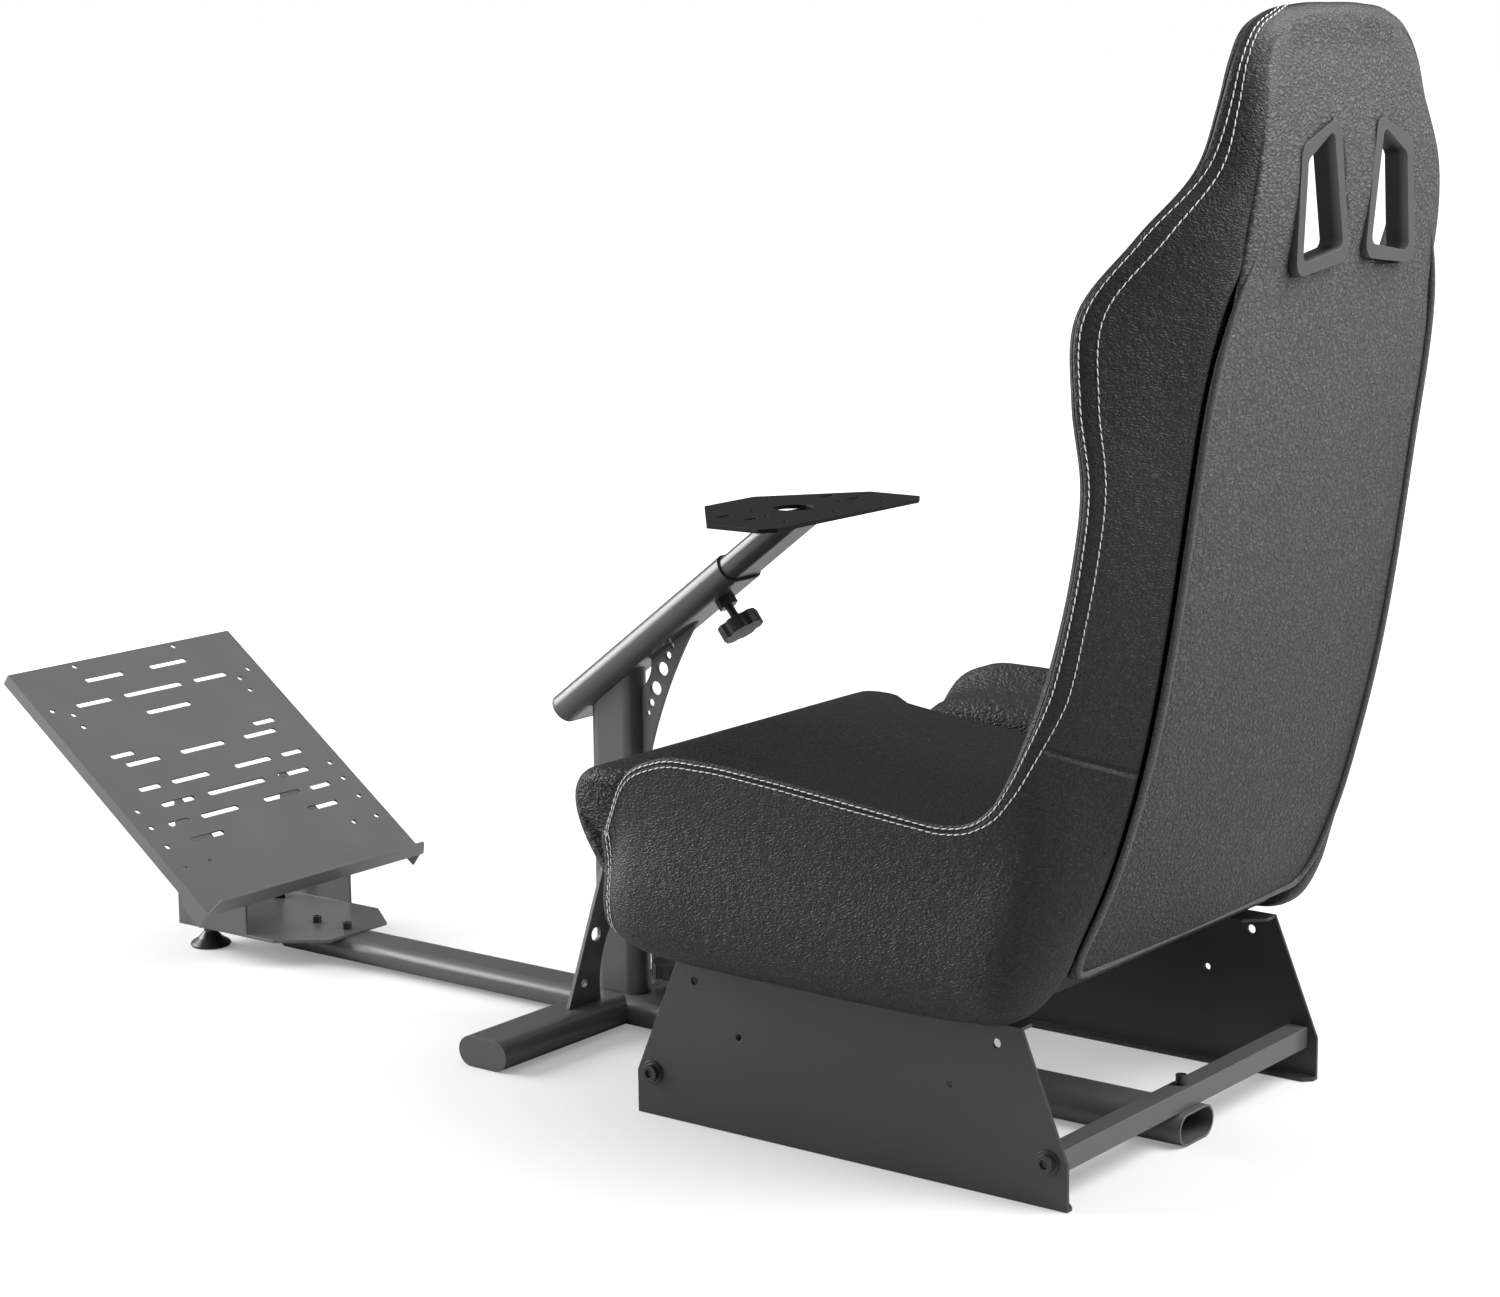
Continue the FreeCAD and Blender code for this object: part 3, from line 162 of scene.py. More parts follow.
# Front of the wing, cushion and layers of the back in metres, with the ring column on the
# padding's edge and the back's share of the cushion's swell.
WING_NOSE = 0.010
CUSHION_HALF = 0.2022
CUSHION_EDGE = 0.016
COVER_THICKNESS = 0.008
PAD_START = 0.0088
PAD_SETBACK = 0.004
PAD_EDGE = 6
BACK_SWELL = 0.7
LAYER_GAP = 0.0015
NARROW_BACK = 0.1
LEAST_HALF = 0.004
PIPING_TOP = 0.815
PIPING_FADE = 0.11

# Cloth that swells the padding, and how many frames it runs.
CLOTH = {
    "quality": 5, "mass": 0.3, "tension_stiffness": 12, "compression_stiffness": 12,
    "bending_stiffness": 1.5, "use_pressure": True, "uniform_pressure_force": 4,
}
CLOTH_FRAMES = 20

# Lights in metres, each with its place and its target.
BROAD_LIGHT = ((0.5, -0.7, 3.0), (0, 0, 0))
REAR_LIGHT = ((0.8, -2.3, 2.2), (0.05, -0.75, 0.85))
PANEL_LIGHT = ((-1.0, 2.75, 1.45), (0, 0, 0.4))
WHITE = (1, 1, 1, 1)
FLOOR_REACH = 60
FLOOR_POINTS = 25
FLOOR_DROP = 0.0004

# Camera found from the photograph's square edges.
CAMERA = Matrix((
    (0.60645, 0.15291, -0.78029, -2.4664),
    (-0.79504, 0.10261, -0.59781, -2.0204),
    (-0.01134, 0.98290, 0.18379, 0.9734),
    (0, 0, 0, 1)))

# Finishes of the solids: roughness, specular level and the nodes that have them.
PAINTED = {
    "frame": (0.30, 0.5, (
        "main_floor_tube", "cross_foot_left", "cross_foot_right", "post", "post_brace_left",
        "post_brace_right", "column_outer_tube", "column_web", "column_inner_tube", "pedal_tube",
        "rear_cross_bar", "front_cross_bar", "pedal_bracket")),
    "side_plate": (0.42, 0.5, ("seat_plate_left", "seat_plate_right")),
    "deck": (0.38, 0.5, ("pedal_plate",)),
    "wheel_plate": (0.40, 0.25, ("wheel_plate",)),
}
FITTINGS = {
    "cap": (0.55, 0.5, ("cross_foot_caps", "column_end_cap")),
    "hardware": (0.34, 0.5, (
        "column_boss", "floor_tube_boss", "pedal_bracket_bolts", "pedal_foot_left",
        "pedal_foot_right", "seat_plate_bolts", "cross_bar_bolts")),
    "knob": (0.42, 0.5, ("column_knob", "floor_tube_knob")),
}
TRIM = (0.48, 0.2, ("harness_bezel_left", "harness_bezel_right"))
PAINT_PEEL = 0.00002
FITTING_PEEL = 0.00003
PAINT_GRAIN = 900.0
EDGE_RADIUS = 0.0008

# Leathers: grain cells to the metre, roughness, bump height in metres and specular level.
SIDE_GRAIN = (215.0, 0.52, 0.00082, 0.36)
SEAT_GRAIN = (165.0, 0.48, 0.0017, 0.34)
BACK_GRAIN = (150.0, 0.45, 0.0016, 0.25)
PIPING_GRAIN = (300.0, 0.46, 0.0002, 0.40)
COARSE_CELLS = 150.0

# Ranges of a place or distance in metres, or of the upward share of a direction, each with what
# its two ends are carried to: a factor of the colour, a height of the grain or a strength of light.
# This range darkens the harness trim deeper in its opening: painted shade.
TRIM_PAINTED_SHADE = (-0.7585, -0.751, 1.0, 0.12)
# This range darkens the rear cover's colour towards its foot: painted shade.
PAINTED_SHADE_FADE = (0.20, 0.75, 0.22, 1.0)
SEAM_GROOVE = (0.0, 0.0022, -7.0, 0.0)
CROSS_CREASE = (0.0, 0.0050, -6.0, 0.0)
FLOOR_GLOW = (1.0, 3.5, 0.25, 0.95)
ROOM_LIGHT = (0.30, 0.95, 0.22, 1.7)


def colour(name, description, value):
    """A linear colour property with its default."""
    return bpy.props.FloatVectorProperty(
        name=name, description=description, subtype="COLOR", size=3, min=0, max=1, default=value)


def length(name, description, value):
    """A length property in metres with its default."""
    return bpy.props.FloatProperty(name=name, description=description, unit="LENGTH", min=0, default=value)


def amount(name, description, value, kind="NONE", least=0):
    """A number property with its default, its kind and its least value."""
    return bpy.props.FloatProperty(name=name, description=description, subtype=kind, min=least, default=value)


class CockpitFinishes(bpy.types.PropertyGroup):
    """Colours of the painted, moulded and upholstered surfaces."""
    frame: colour("Frame paint", "Satin paint of the tubes and braces", (0.088, 0.088, 0.089))
    side_plate: colour("Side plate paint", "Paint of the seat side plates", (0.033, 0.033, 0.0336))
    deck: colour("Pedal plate paint", "Paint of the slotted pedal plate", (0.108, 0.1085, 0.110))
    wheel_plate: colour("Wheel plate paint", "Paint of the wheel plate", (0.005, 0.005, 0.005))
    cap: colour("End caps", "Plastic caps of the tubes", (0.075, 0.075, 0.076))
    hardware: colour("Hardware", "Bolts, bosses and levelling feet", (0.020, 0.020, 0.021))
    knob: colour("Knobs", "Plastic of the clamp knobs", (0.016, 0.016, 0.016))
    bezel: colour("Harness trim", "Plastic trim of the harness openings", (0.085, 0.085, 0.086))
    side_leather: colour("Side leather", "Leather of the bolsters and wings", (0.014, 0.014, 0.0143))
    seat_leather: colour("Seat leather", "Leather of cushion and front padding", (0.006, 0.006, 0.0062))
    back_leather: colour("Back leather", "Leather of the rear cover", (0.088, 0.088, 0.089))
    thread: colour("Thread", "Contrast stitching", (0.82, 0.82, 0.80))


class CockpitSizes(bpy.types.PropertyGroup):
    """Sizes of the upholstery's details."""
    row_step: length("Surface step", "Distance between the rows of the upholstery surfaces", 0.006)
    piping_radius: length("Piping", "Radius of the piping round the rear cover", 0.0034)
    stitch_pitch: length("Stitch pitch", "Distance from one stitch to the next", 0.0072)
    stitch_length: length("Stitch length", "Length of one stitch", 0.0068)
    thread_radius: length("Thread radius", "Radius of the sewing thread", 0.00050)
    seam_gap: length("Seam gap", "Gap between the two rows of stitches on the back", 0.0125)
    seam_back: length("Seam setback", "Distance of the seam behind the crest on the back", 0.012)
    seam_fore: length("Crown seam", "How far the seam comes forward over the crown", 0.022)
    seam_gap_wing: length("Wing seam gap", "Gap between the two rows of stitches on the wing", 0.0050)
    nose_flare: length("Nose flare", "How far the cushion's nose reaches past its sides", 0.022)
    swell: length("Swell", "Most that the padding swells", 0.007)


class CockpitStage(bpy.types.PropertyGroup):
    """Floor, lights and camera."""
    floor: colour("Floor", "Pale studio floor", (0.60, 0.60, 0.60))
    world: amount("Room light", "Strength of the even light all round", 0.42)
    key: amount("Key light", "Strength of the broad light from above", 0.45)
    rear: amount("Rear light", "Power of the light on the back of the seat", 110, "POWER")
    panel: amount("Panel light", "Power of the broad light beyond the column", 165, "POWER")
    lens: amount("Lens", "Focal length on a 36 mm wide sensor", 79.76, "DISTANCE_CAMERA", 1)


# Surfaces worked out as whole arrays

def spline_rows(knots, rows, at):
    """Smooth rows between given rows: a cubic through each pair of neighbours, whose slopes
    at the given rows are the weighted mean of the slopes on either side."""
    slope = np.gradient(rows, knots, axis=0)
    k = np.clip(np.searchsorted(knots, at, side="right") - 1, 0, len(knots) - 2)
    gap = knots[k + 1] - knots[k]
    t = (at - knots[k]) / gap
    shape = (-1,) + (1,) * (rows.ndim - 1)
    t = t.reshape(shape)
    gap = gap.reshape(shape)
    return ((2 * t**3 - 3 * t**2 + 1) * rows[k] + (t**3 - 2 * t**2 + t) * gap * slope[k]
            + (3 * t**2 - 2 * t**3) * rows[k + 1] + (t**3 - t**2) * gap * slope[k + 1])


def ring_weights(count, control):
    """Weights of a closed cubic B-spline: row i gives the share of each control point in the
    i-th of count points spaced evenly round the ring."""
    t = np.arange(count) / count * control
    k = np.floor(t).astype(int)
    f = t - k
    blend = np.stack([(1 - f)**3, 3 * f**3 - 6 * f**2 + 4, -3 * f**3 + 3 * f**2 + 3 * f + 1, f**3], 1) / 6
    weights = np.zeros((count, control))
    for step in range(4):
        weights[np.arange(count), (k + step - 1) % control] += blend[:, step]
    return weights


def path_length(points):
    """Running length along a row of points."""
    return np.concatenate([[0.0], np.cumsum(np.linalg.norm(np.diff(points, axis=0), axis=1))])


def along_path(at, run, values):
    """Values of a row at given lengths along it, straight between its points."""
    return np.stack([np.interp(at, run, column) for column in values.T], 1)


def resample(points, step):
    """Points at even steps of length along a row of points."""
    run = path_length(points)
    return along_path(np.linspace(0, run[-1], max(2, int(round(run[-1] / step)) + 1)), run, points)


def ramp(values, start, width):
    """Nought up to a start, one from a width past it, and straight between."""
    return np.clip((values - start) / width, 0, 1)


def smooth(share):
    """A share from nought to one, made level at both ends by a cubic."""
    return share * share * (3 - 2 * share)


def unit(vectors):
    """Vectors brought to length one."""
    return vectors / np.maximum(np.linalg.norm(vectors, axis=-1, keepdims=True), 1e-12)


def grid_normals(grid):
    """Outward normals of a grid whose columns close into a ring: cross product of the steps
    along the rows and round the ring."""
    along = np.gradient(grid, axis=0)
    around = np.roll(grid, -1, 1) - np.roll(grid, 1, 1)
    normal = unit(np.cross(around, along))
    outward = np.einsum("ijk,ijk->", normal, grid - grid.mean(1, keepdims=True))
    return normal * np.sign(outward)


def sample(grid, rows, columns):
    """Values of a ring grid at fractional rows and columns, straight between its points."""
    r = np.clip(rows, 0, len(grid) - 1.001)
    i = r.astype(int)
    j = np.floor(columns).astype(int)
    a = (r - i)[:, None]
    b = (columns - np.floor(columns))[:, None]
    n = grid.shape[1]
    low = grid[i, j % n] * (1 - b) + grid[i, (j + 1) % n] * b
    high = grid[i + 1, j % n] * (1 - b) + grid[i + 1, (j + 1) % n] * b
    return low * (1 - a) + high * a


def volume(points, quads):
    """Signed volume under four-sided faces, from the triple products of their corners."""
    a, b, c, d = (points[quads[:, k]] for k in range(4))
    return float((np.cross(a, b) * c).sum() + (np.cross(a, c) * d).sum()) / 6


def ring_faces(points, rows, columns):
    """Faces of a grid whose columns close into a ring, turned outwards by the sign of its
    volume: the four-sided ones, and the two that close its ends."""
    index = np.arange(rows * columns).reshape(rows, columns)
    after = np.roll(index, -1, 1)
    quads = np.stack([index[:-1], after[:-1], after[1:], index[1:]], -1).reshape(-1, 4)
    ends = np.stack([index[0][::-1], index[-1]])
    turn = -1 if volume(points, quads) < 0 else 1
    return quads[:, ::turn], ends[:, ::turn]


def add_object(name, points, faces):
    """A mesh object at the origin from points and faces, shaded smooth."""
    mesh = bpy.data.meshes.new(name)
    mesh.from_pydata(points.tolist(), [], faces)
    mesh.polygons.foreach_set("use_smooth", np.ones(len(mesh.polygons), bool))
    mesh.update()
    item = bpy.data.objects.new(name, mesh)
    bpy.context.scene.collection.objects.link(item)
    return item


def ring_object(name, grid):
    """A closed piece from a ring grid, its faces turned outwards."""
    points = grid.reshape(-1, 3)
    quads, ends = ring_faces(points, *grid.shape[:2])
    return add_object(name, points, quads.tolist() + ends.tolist())


def tube(path, radius, sides):
    """Ring grid of a round cord along a path: circles square to the path, one for each
    point, each with its radius."""
    ahead = unit(np.gradient(path, axis=0))
    slanting = (0.3, 0.9, 0.31)
    first = unit(np.cross(ahead, slanting))
    second = np.cross(ahead, first)
    turn = np.arange(sides) / sides * 2 * np.pi
    circle = first[:, None] * np.cos(turn)[:, None] + second[:, None] * np.sin(turn)[:, None]
    return path[:, None] + circle * radius[:, None, None]


def mark(item, name, values):
    """A value for each point of a piece, for its material to read."""
    layer = item.data.attributes.new(name, "FLOAT", "POINT")
    layer.data.foreach_set("value", np.ascontiguousarray(values, np.float32).ravel())


def settle(item, material, body="frame", nodes=()):
    """Give a piece its material, the body it rides on and the solids it stands for."""
    item.data.materials.append(material)
    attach(item, body)
    if nodes:
        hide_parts(*nodes)
    return item


def points_of(item):
    """Points of a mesh as an array."""
    flat = np.empty(len(item.data.vertices) * 3, np.float32)
    item.data.vertices.foreach_get("co", flat)
    return flat.reshape(-1, 3).astype(float)


def swell(item, most, free):
    """Blow a closed cover up with cloth pressure and keep up to a given movement of each point,
    less where it is not free."""
    scene = bpy.context.scene
    rest = points_of(item)
    cloth = item.modifiers.new("padding", "CLOTH")
    for key, value in CLOTH.items():
        setattr(cloth.settings, key, value)
    cloth.settings.effector_weights.gravity = 0
    cloth.collision_settings.use_collision = False
    cloth.collision_settings.use_self_collision = False
    cloth.point_cache.frame_start = 1
    cloth.point_cache.frame_end = CLOTH_FRAMES
    for number in range(1, CLOTH_FRAMES + 1):
        scene.frame_set(number)
    posed = item.evaluated_get(bpy.context.evaluated_depsgraph_get())
    flat = np.empty(len(posed.data.vertices) * 3, np.float32)
    posed.data.vertices.foreach_get("co", flat)
    item.modifiers.remove(cloth)
    scene.frame_set(1)
    move = flat.reshape(-1, 3) - rest
    size = np.linalg.norm(move, axis=1, keepdims=True)
    move = move * np.minimum(1, most / np.maximum(size, 1e-9)) * np.reshape(free, (-1, 1))
    item.data.vertices.foreach_set("co", (rest + move).astype(np.float32).ravel())
    item.data.update()


# Upholstery

def section_frames():
    """Inner root point, outward direction, rise direction, width and crest height of each
    section: the rise runs from the root to the crest, and over the crown the outward
    direction turns from sideways to upwards."""
    root_y, root_z, crest_y, crest_z, inner, crest_x, depth, turn = (SECTIONS * MM).T
    turn = np.radians(turn / MM)
    root = np.stack([inner, root_y, root_z], 1)
    outward = np.stack([np.cos(turn), 0 * turn, np.sin(turn)], 1)
    over = turn > 0.05
    lean = np.where(over, 0.0, crest_z - root_z)
    rise = unit(np.stack([0 * turn, crest_y - root_y, lean], 1))
    height = np.hypot(crest_y - root_y, lean)
    width = np.where(over, np.hypot(crest_x - inner, crest_z - root_z), crest_x - inner)
    return root, outward, rise, width, height, depth


def bolster_sections():
    """Control rings of the right half: each point lies a share of the width outwards and a
    share of the crest height, a share of the padding and some millimetres along the rise,
    with shares that pass from the wing's outline to the back's, the neck's and the head's."""
    root, outward, rise, width, height, depth = section_frames()
    rings = np.array([WING_RING, BACK_RING, NECK_RING, HEAD_RING], float)
    number = np.arange(len(root))
    wing = 1 - ramp(number, WING_END, 4)
    neck = ramp(number, NECK - 2, 2)
    head = ramp(number, NECK, HEAD - NECK)
    share = np.stack([wing, (1 - wing) * (1 - neck), neck - head, head], 1)
    ring = np.einsum("sk,kpq->spq", share, rings)
    out = ring[:, :, 0] * width[:, None]
    up = ring[:, :, 1] * height[:, None] + ring[:, :, 2] * depth[:, None] + ring[:, :, 3] * MM
    return root[:, None] + out[..., None] * outward[:, None] + up[..., None] * rise[:, None]


def nose_rows(first, reach, count):
    """Rows that close the wing's front: the section shrinks to its middle as a superellipse
    quarter while it moves forward."""
    s = np.linspace(1, 0, count, endpoint=False)
    least = 0.06
    scale = (1 - s**3)**(1 / 3) * (1 - least) + least
    middle = first.mean(0)
    rows = middle + (first - middle) * scale[:, None, None]
    rows[..., 1] += (reach * s)[:, None]
    return rows


def bolster_grid(step):
    """Ring grid of both bolsters as one roll: the right half's control rings, their mirror
    image after the crown, a smooth row every step, and a B-spline round each ring."""
    right = bolster_sections()
    left = right[-2::-1] * MIRROR
    rings = np.concatenate([right, left])
    knots = path_length(rings[:, CREST - 1] * 0.6 + rings[:, 3] * 0.4)
    at = np.linspace(0, knots[-1], int(knots[-1] / step))
    rows = spline_rows(knots, rings, at)
    grid = np.einsum("cp,rpk->rck", ring_weights(RING_POINTS, rings.shape[1]), rows)
    front = nose_rows(grid[0], WING_NOSE, 7)
    back = nose_rows(grid[-1], WING_NOSE, 7)[::-1]
    return np.concatenate([front, grid, back]), len(front)


def crest_column():
    """Column of the ring grid that lies on the crest."""
    return CREST / len(WING_RING) * RING_POINTS


def seam_paths(grid, skirt, sizes):
    """The two stitched rows as fractional rows and columns: up the wing's front edge, then
    along the crest from wing to wing, each half the seam's gap to one side of it."""
    last = len(grid) - 1 - skirt
    rows = np.arange(skirt, last + 1.0)
    middle = (len(grid) - 1) / 2
    crest = crest_column()
    step = np.linalg.norm(sample(grid, rows, np.full(len(rows), crest))
                          - sample(grid, rows, np.full(len(rows), crest - 2.0)), axis=1) / 2
    reach = 1 - np.abs(rows - middle) / (middle - skirt)
    share = ramp(reach, *SEAM_PARTS)
    gap = sizes.seam_gap_wing + (sizes.seam_gap - sizes.seam_gap_wing) * smooth(share)
    gap = gap * np.maximum(0.5, 1 - ramp(reach, *SEAM_CLOSES))
    over = smooth(ramp(reach, *SEAM_OVER))
    low = crest * SEAM_FOOT
    paths = []
    for side in (-0.5, 0.5):
        columns = crest - 1.0 + (side * gap - sizes.seam_back * share + sizes.seam_fore * over) / step
        shift = -side * sizes.seam_gap_wing / sizes.row_step
        edge = np.linspace(low, columns[0], 24)[:-1]
        row = np.concatenate([np.full(len(edge), skirt + 0.4 + shift), rows,
                              np.full(len(edge), last - 0.4 - shift)])
        column = np.concatenate([edge, columns, edge[::-1]])
        paths.append((row, column))
    return paths


def stitch_row(grid, normals, path, sizes):
    """Stitches along a path on the surface: grains of thread at even steps, each a ring grid
    whose radius follows a half ellipse along its length, lying on the surface."""
    points = sample(grid, *path)
    up = sample(normals, *path)
    run = path_length(points)
    at = np.arange(sizes.stitch_pitch, run[-1], sizes.stitch_pitch)
    reach = 0.003
    slant = 0.10
    centre = along_path(at, run, points)
    normal = unit(along_path(at, run, up))
    ahead = unit(along_path(at + reach, run, points) - along_path(at - reach, run, points))
    ahead = unit(ahead + slant * unit(np.cross(normal, ahead)))
    side = unit(np.cross(normal, ahead))
    s = np.linspace(-1, 1, 6)[:, None]
    turn = np.arange(6) / 6 * 2 * np.pi
    radius = np.sqrt(np.clip(1.02 - s**2, 0.05, 1)) * sizes.thread_radius
    lift = (0.9 - 0.7 * s**2) * sizes.thread_radius
    along = s * sizes.stitch_length / 2 + 0 * turn
    grain = np.stack([along, radius * np.cos(turn), radius * np.sin(turn) + lift], -1)
    axes = np.stack([ahead, side, normal], 1)
    return centre[:, None, None] + np.einsum("rsa,nak->nrsk", grain, axes)


def stitch_object(name, rows):
    """All stitches of a seam as one piece: the faces of one stitch, shifted for each of them."""
    grains = np.concatenate(rows)
    count, rings, sides = grains.shape[:3]
    shift = np.arange(count)[:, None, None] * (rings * sides)
    quads, ends = ring_faces(grains[0].reshape(-1, 3), rings, sides)
    faces = (quads + shift).reshape(-1, 4).tolist() + (ends + shift).reshape(-1, sides).tolist()
    return add_object(name, grains.reshape(-1, 3), faces)


def back_rows(step):
    """Rows of the back from the hip to the crown: half width, rear point, rise direction and
    padding depth, smooth along the section's roots."""
    root, _, rise, _, _, depth = section_frames()
    table = np.concatenate([root, rise, depth[:, None]], 1)[BACK_START:]
    knots = path_length(table[:, :3])
    at = np.linspace(0, knots[-1], int(knots[-1] / step))
    rows = spline_rows(knots, table, at)
    return np.maximum(rows[:, 0], LEAST_HALF), rows[:, 1:3], unit(rows[:, 4:6]), rows[:, 6]


def cover_rows(step):
    """Rows of the rear cover: smooth rows between points on its edge, with the rear surface's
    place at the edge's height."""
    half, root, rise, depth = back_rows(step)
    spare = 0.04
    low = half[root[:, 1] < COVER_EDGE[0, 1] - spare]
    edge = np.concatenate([np.stack([low, root[:len(low), 1]], 1), COVER_EDGE])
    run = path_length(edge)
    edge = spline_rows(run, edge, np.linspace(0, run[-1], int(run[-1] / step)))
    rows = along_path(edge[:, 1], root[:, 1], np.column_stack([root[:, 0], rise, depth]))
    place = np.stack([rows[:, 0], edge[:, 1]], 1)
    return np.maximum(edge[:, 0], LEAST_HALF), place, unit(rows[:, 1:3]), rows[:, 3]


def layer_grid(rows, half_ring, count, rear, front):
    """Ring grid of one layer of the back: a half ring and its mirror image give a share of the
    half width across, a share from the layer's rear to its front, and millimetres along the
    rise, which fade out where the back gets narrow."""
    half, root, rise = rows[:3]
    left = np.array(half_ring, float)
    ring = np.concatenate([left, left[-2:0:-1] * MIRROR])
    shape = ring_weights(count, len(ring)) @ ring
    relief = shape[:, 2] * MM * ramp(half, 0, NARROW_BACK)[:, None]
    up = rear + shape[:, 1] * (front - rear) + relief
    grid = np.empty((len(half), count, 3))
    grid[..., 0] = shape[:, 0] * (half - LAYER_GAP)[:, None]
    grid[..., 1:] = root[:, None] + up[..., None] * rise[:, None]
    return grid


# Left halves of the sections of the rear cover and of the front padding with its sewn channel:
# share of the half width, share from the layer's rear to its front, millimetres along the rise.
COVER_RING = [
    (0, 0, -3.5), (-0.3, 0, -3.2), (-0.6, 0, -2.2), (-0.85, 0, -0.9), (-0.96, 0, 0.2),
    (-1.0, 0, 1.8), (-1.0, 1, -2), (-0.97, 1, 0), (-0.6, 1, 0), (0, 1, 0),
]
PAD_RING = [
    (0, 0, 0), (-0.5, 0, 0), (-0.95, 0, 0), (-1.0, 0.15, 0), (-1.0, 0.6, 0), (-1.0, 0.9, 0),
    (-0.96, 1, 0), (-0.80, 1, 0), (-0.68, 1, -2), (-0.62, 1, -5), (-0.55, 1, -2), (-0.3, 1, -1),
    (0, 1, -1),
]


def harness_loop(side, grow):
    """Rounded outline of a harness opening: each corner is a quadratic curve between points a
    reach away from it on its two edges."""
    corners = HARNESS.copy()
    middle = corners.mean(0)
    corners += np.sign(corners - middle) * grow
    before = corners + unit(np.roll(corners, 1, 0) - corners) * HARNESS_CORNER
    after = corners + unit(np.roll(corners, -1, 0) - corners) * HARNESS_CORNER
    t = np.linspace(0, 1, 9)[None, :, None]
    loop = (1 - t)**2 * before[:, None] + 2 * t * (1 - t) * corners[:, None] + t**2 * after[:, None]
    return loop.reshape(-1, 2) * np.array([side, 1])


def open_harness(item):
    """Cut both harness openings through a piece of the back."""
    for side in (-1, 1):
        loop = harness_loop(side, HARNESS_GAP)
        grid = np.empty((2, len(loop), 3))
        grid[..., 0] = loop[:, 0]
        grid[..., 1] = np.array(HARNESS_CUT)[:, None]
        grid[..., 2] = loop[:, 1]
        cutter = ring_object("harness_cutter", grid)
        cut = item.modifiers.new("opening", "BOOLEAN")
        cut.operation = "DIFFERENCE"
        cut.solver = "EXACT"
        cut.object = cutter
        with bpy.context.temp_override(object=item, active_object=item, selected_objects=[item]):
            bpy.ops.object.modifier_apply(modifier=cut.name)
        mesh = cutter.data
        bpy.data.objects.remove(cutter)
        bpy.data.meshes.remove(mesh)
    item.data.polygons.foreach_set("use_smooth", np.ones(len(item.data.polygons), bool))


def cushion_grid(sizes):
    """Ring grid of the seat cushion: its side view carried across, drawn in towards its edges by
    a quarter circle near either end, with the nose a little wider than the rest."""
    flat_half = CUSHION_HALF - CUSHION_EDGE
    ring = ring_weights(112, len(CUSHION_RING)) @ CUSHION_RING
    ahead = np.roll(ring, -1, 0) - np.roll(ring, 1, 0)
    inward = unit(np.stack([-ahead[:, 1], ahead[:, 0]], 1))
    inward *= np.sign(((ring.mean(0) - ring) * inward).sum())
    turn = np.linspace(0, np.pi / 2, 6)[:-1] + 0.12
    flat = np.linspace(-flat_half, flat_half, int(2 * CUSHION_HALF / sizes.row_step))
    end = CUSHION_HALF - CUSHION_EDGE * (1 - np.sin(turn))
    across = np.concatenate([-end[::-1], flat[1:-1], end])
    near = np.clip(np.abs(across) - flat_half, 0, CUSHION_EDGE)
    inset = CUSHION_EDGE - np.sqrt(np.maximum(CUSHION_EDGE**2 - near**2, 0))
    grid = np.empty((len(across), len(ring), 3))
    grid[..., 1:] = ring + inward * inset[:, None, None]
    flare = sizes.nose_flare / CUSHION_HALF * smooth(ramp(grid[..., 1], -0.185, 0.04))
    grid[..., 0] = across[:, None] * (1 + flare)
    return grid


def piping_grid(sizes):
    """Ring grid of the piping: a cord up one edge of the rear cover, over its foot and up the other
    edge, on a path made smooth by a running mean, thinner towards its ends by a square root."""
    half, root, rise = back_rows(sizes.row_step)[:3]
    inset, proud, foot, corner = 0.0010, 0.0004, 60, 0.012
    edge = np.column_stack([half - inset, root + rise * proud])
    edge = edge[edge[:, 2] < PIPING_TOP]
    across = np.linspace(-1, 1, foot) * (edge[0, 0] - corner)
    base = np.column_stack([across, np.full(foot, edge[0, 1]), np.full(foot, edge[0, 2])])
    path = np.concatenate([edge[4:][::-1] * MIRROR, base, edge[4:]])
    path = np.pad(resample(path, 0.004), ((3, 3), (0, 0)), mode="edge")
    path = np.lib.stride_tricks.sliding_window_view(path, 7, axis=0).mean(-1)
    run = path_length(path)
    fade = np.clip(np.minimum(run, run[-1] - run) / PIPING_FADE, 0.06, 1)
    return tube(path, sizes.piping_radius * np.sqrt(fade), 12)


def mark_leather(item, grid, normals):
    """Mark the bolsters' points for their leather: distance across the seam, coarse inserts on
    shoulder and wing, distance from the cross seam, and the paler tint on the head's rear and
    crown, chosen by facing direction: the back leather's tone and partly painted light."""
    column = (np.arange(RING_POINTS) - crest_column() + 1.0)[None, :]
    step = np.linalg.norm(np.roll(grid, -1, 1) - grid, axis=2).mean(1)
    across = column * step[:, None]
    y, z = grid[..., 1], grid[..., 2]
    low, high = SHOULDER_INSERT
    inner_side = column < 22
    outer_side = column < -2
    facing = ramp(across, SHOULDER_START, INSERT_BLEND) * inner_side
    shoulder = ramp(z, low, INSERT_BLEND) * ramp(-z, -high, INSERT_BLEND)
    wing = (y > WING_INSERT[0]) * (z < WING_INSERT[1]) * ramp(across, WING_START, INSERT_BLEND)
    seam_y, seam_z, slope = CROSS_SEAM
    tilt = z - seam_z - (y - seam_y) * slope
    # The paler tint goes by facing direction: partly the back leather's tone, partly painted light on the lit
    # rear of the head.
    crown = ramp(-normals[..., 1], 0.55, 0.3) * ramp(z, PAINTED_LIGHT_CROWN, 0.015)
    rear = ramp(-normals[..., 1], 0.925, 0.025) * ramp(z, PAINTED_LIGHT_REAR, 0.03)
    mark(item, "across", across)
    mark(item, "insert", facing * np.maximum(shoulder, wing))
    mark(item, "cross_seam", np.where(outer_side & (y < CROSS_SEAM_FRONT), tilt, 1.0))
    mark(item, "rear", np.maximum(crown, rear))


# Shader node groups

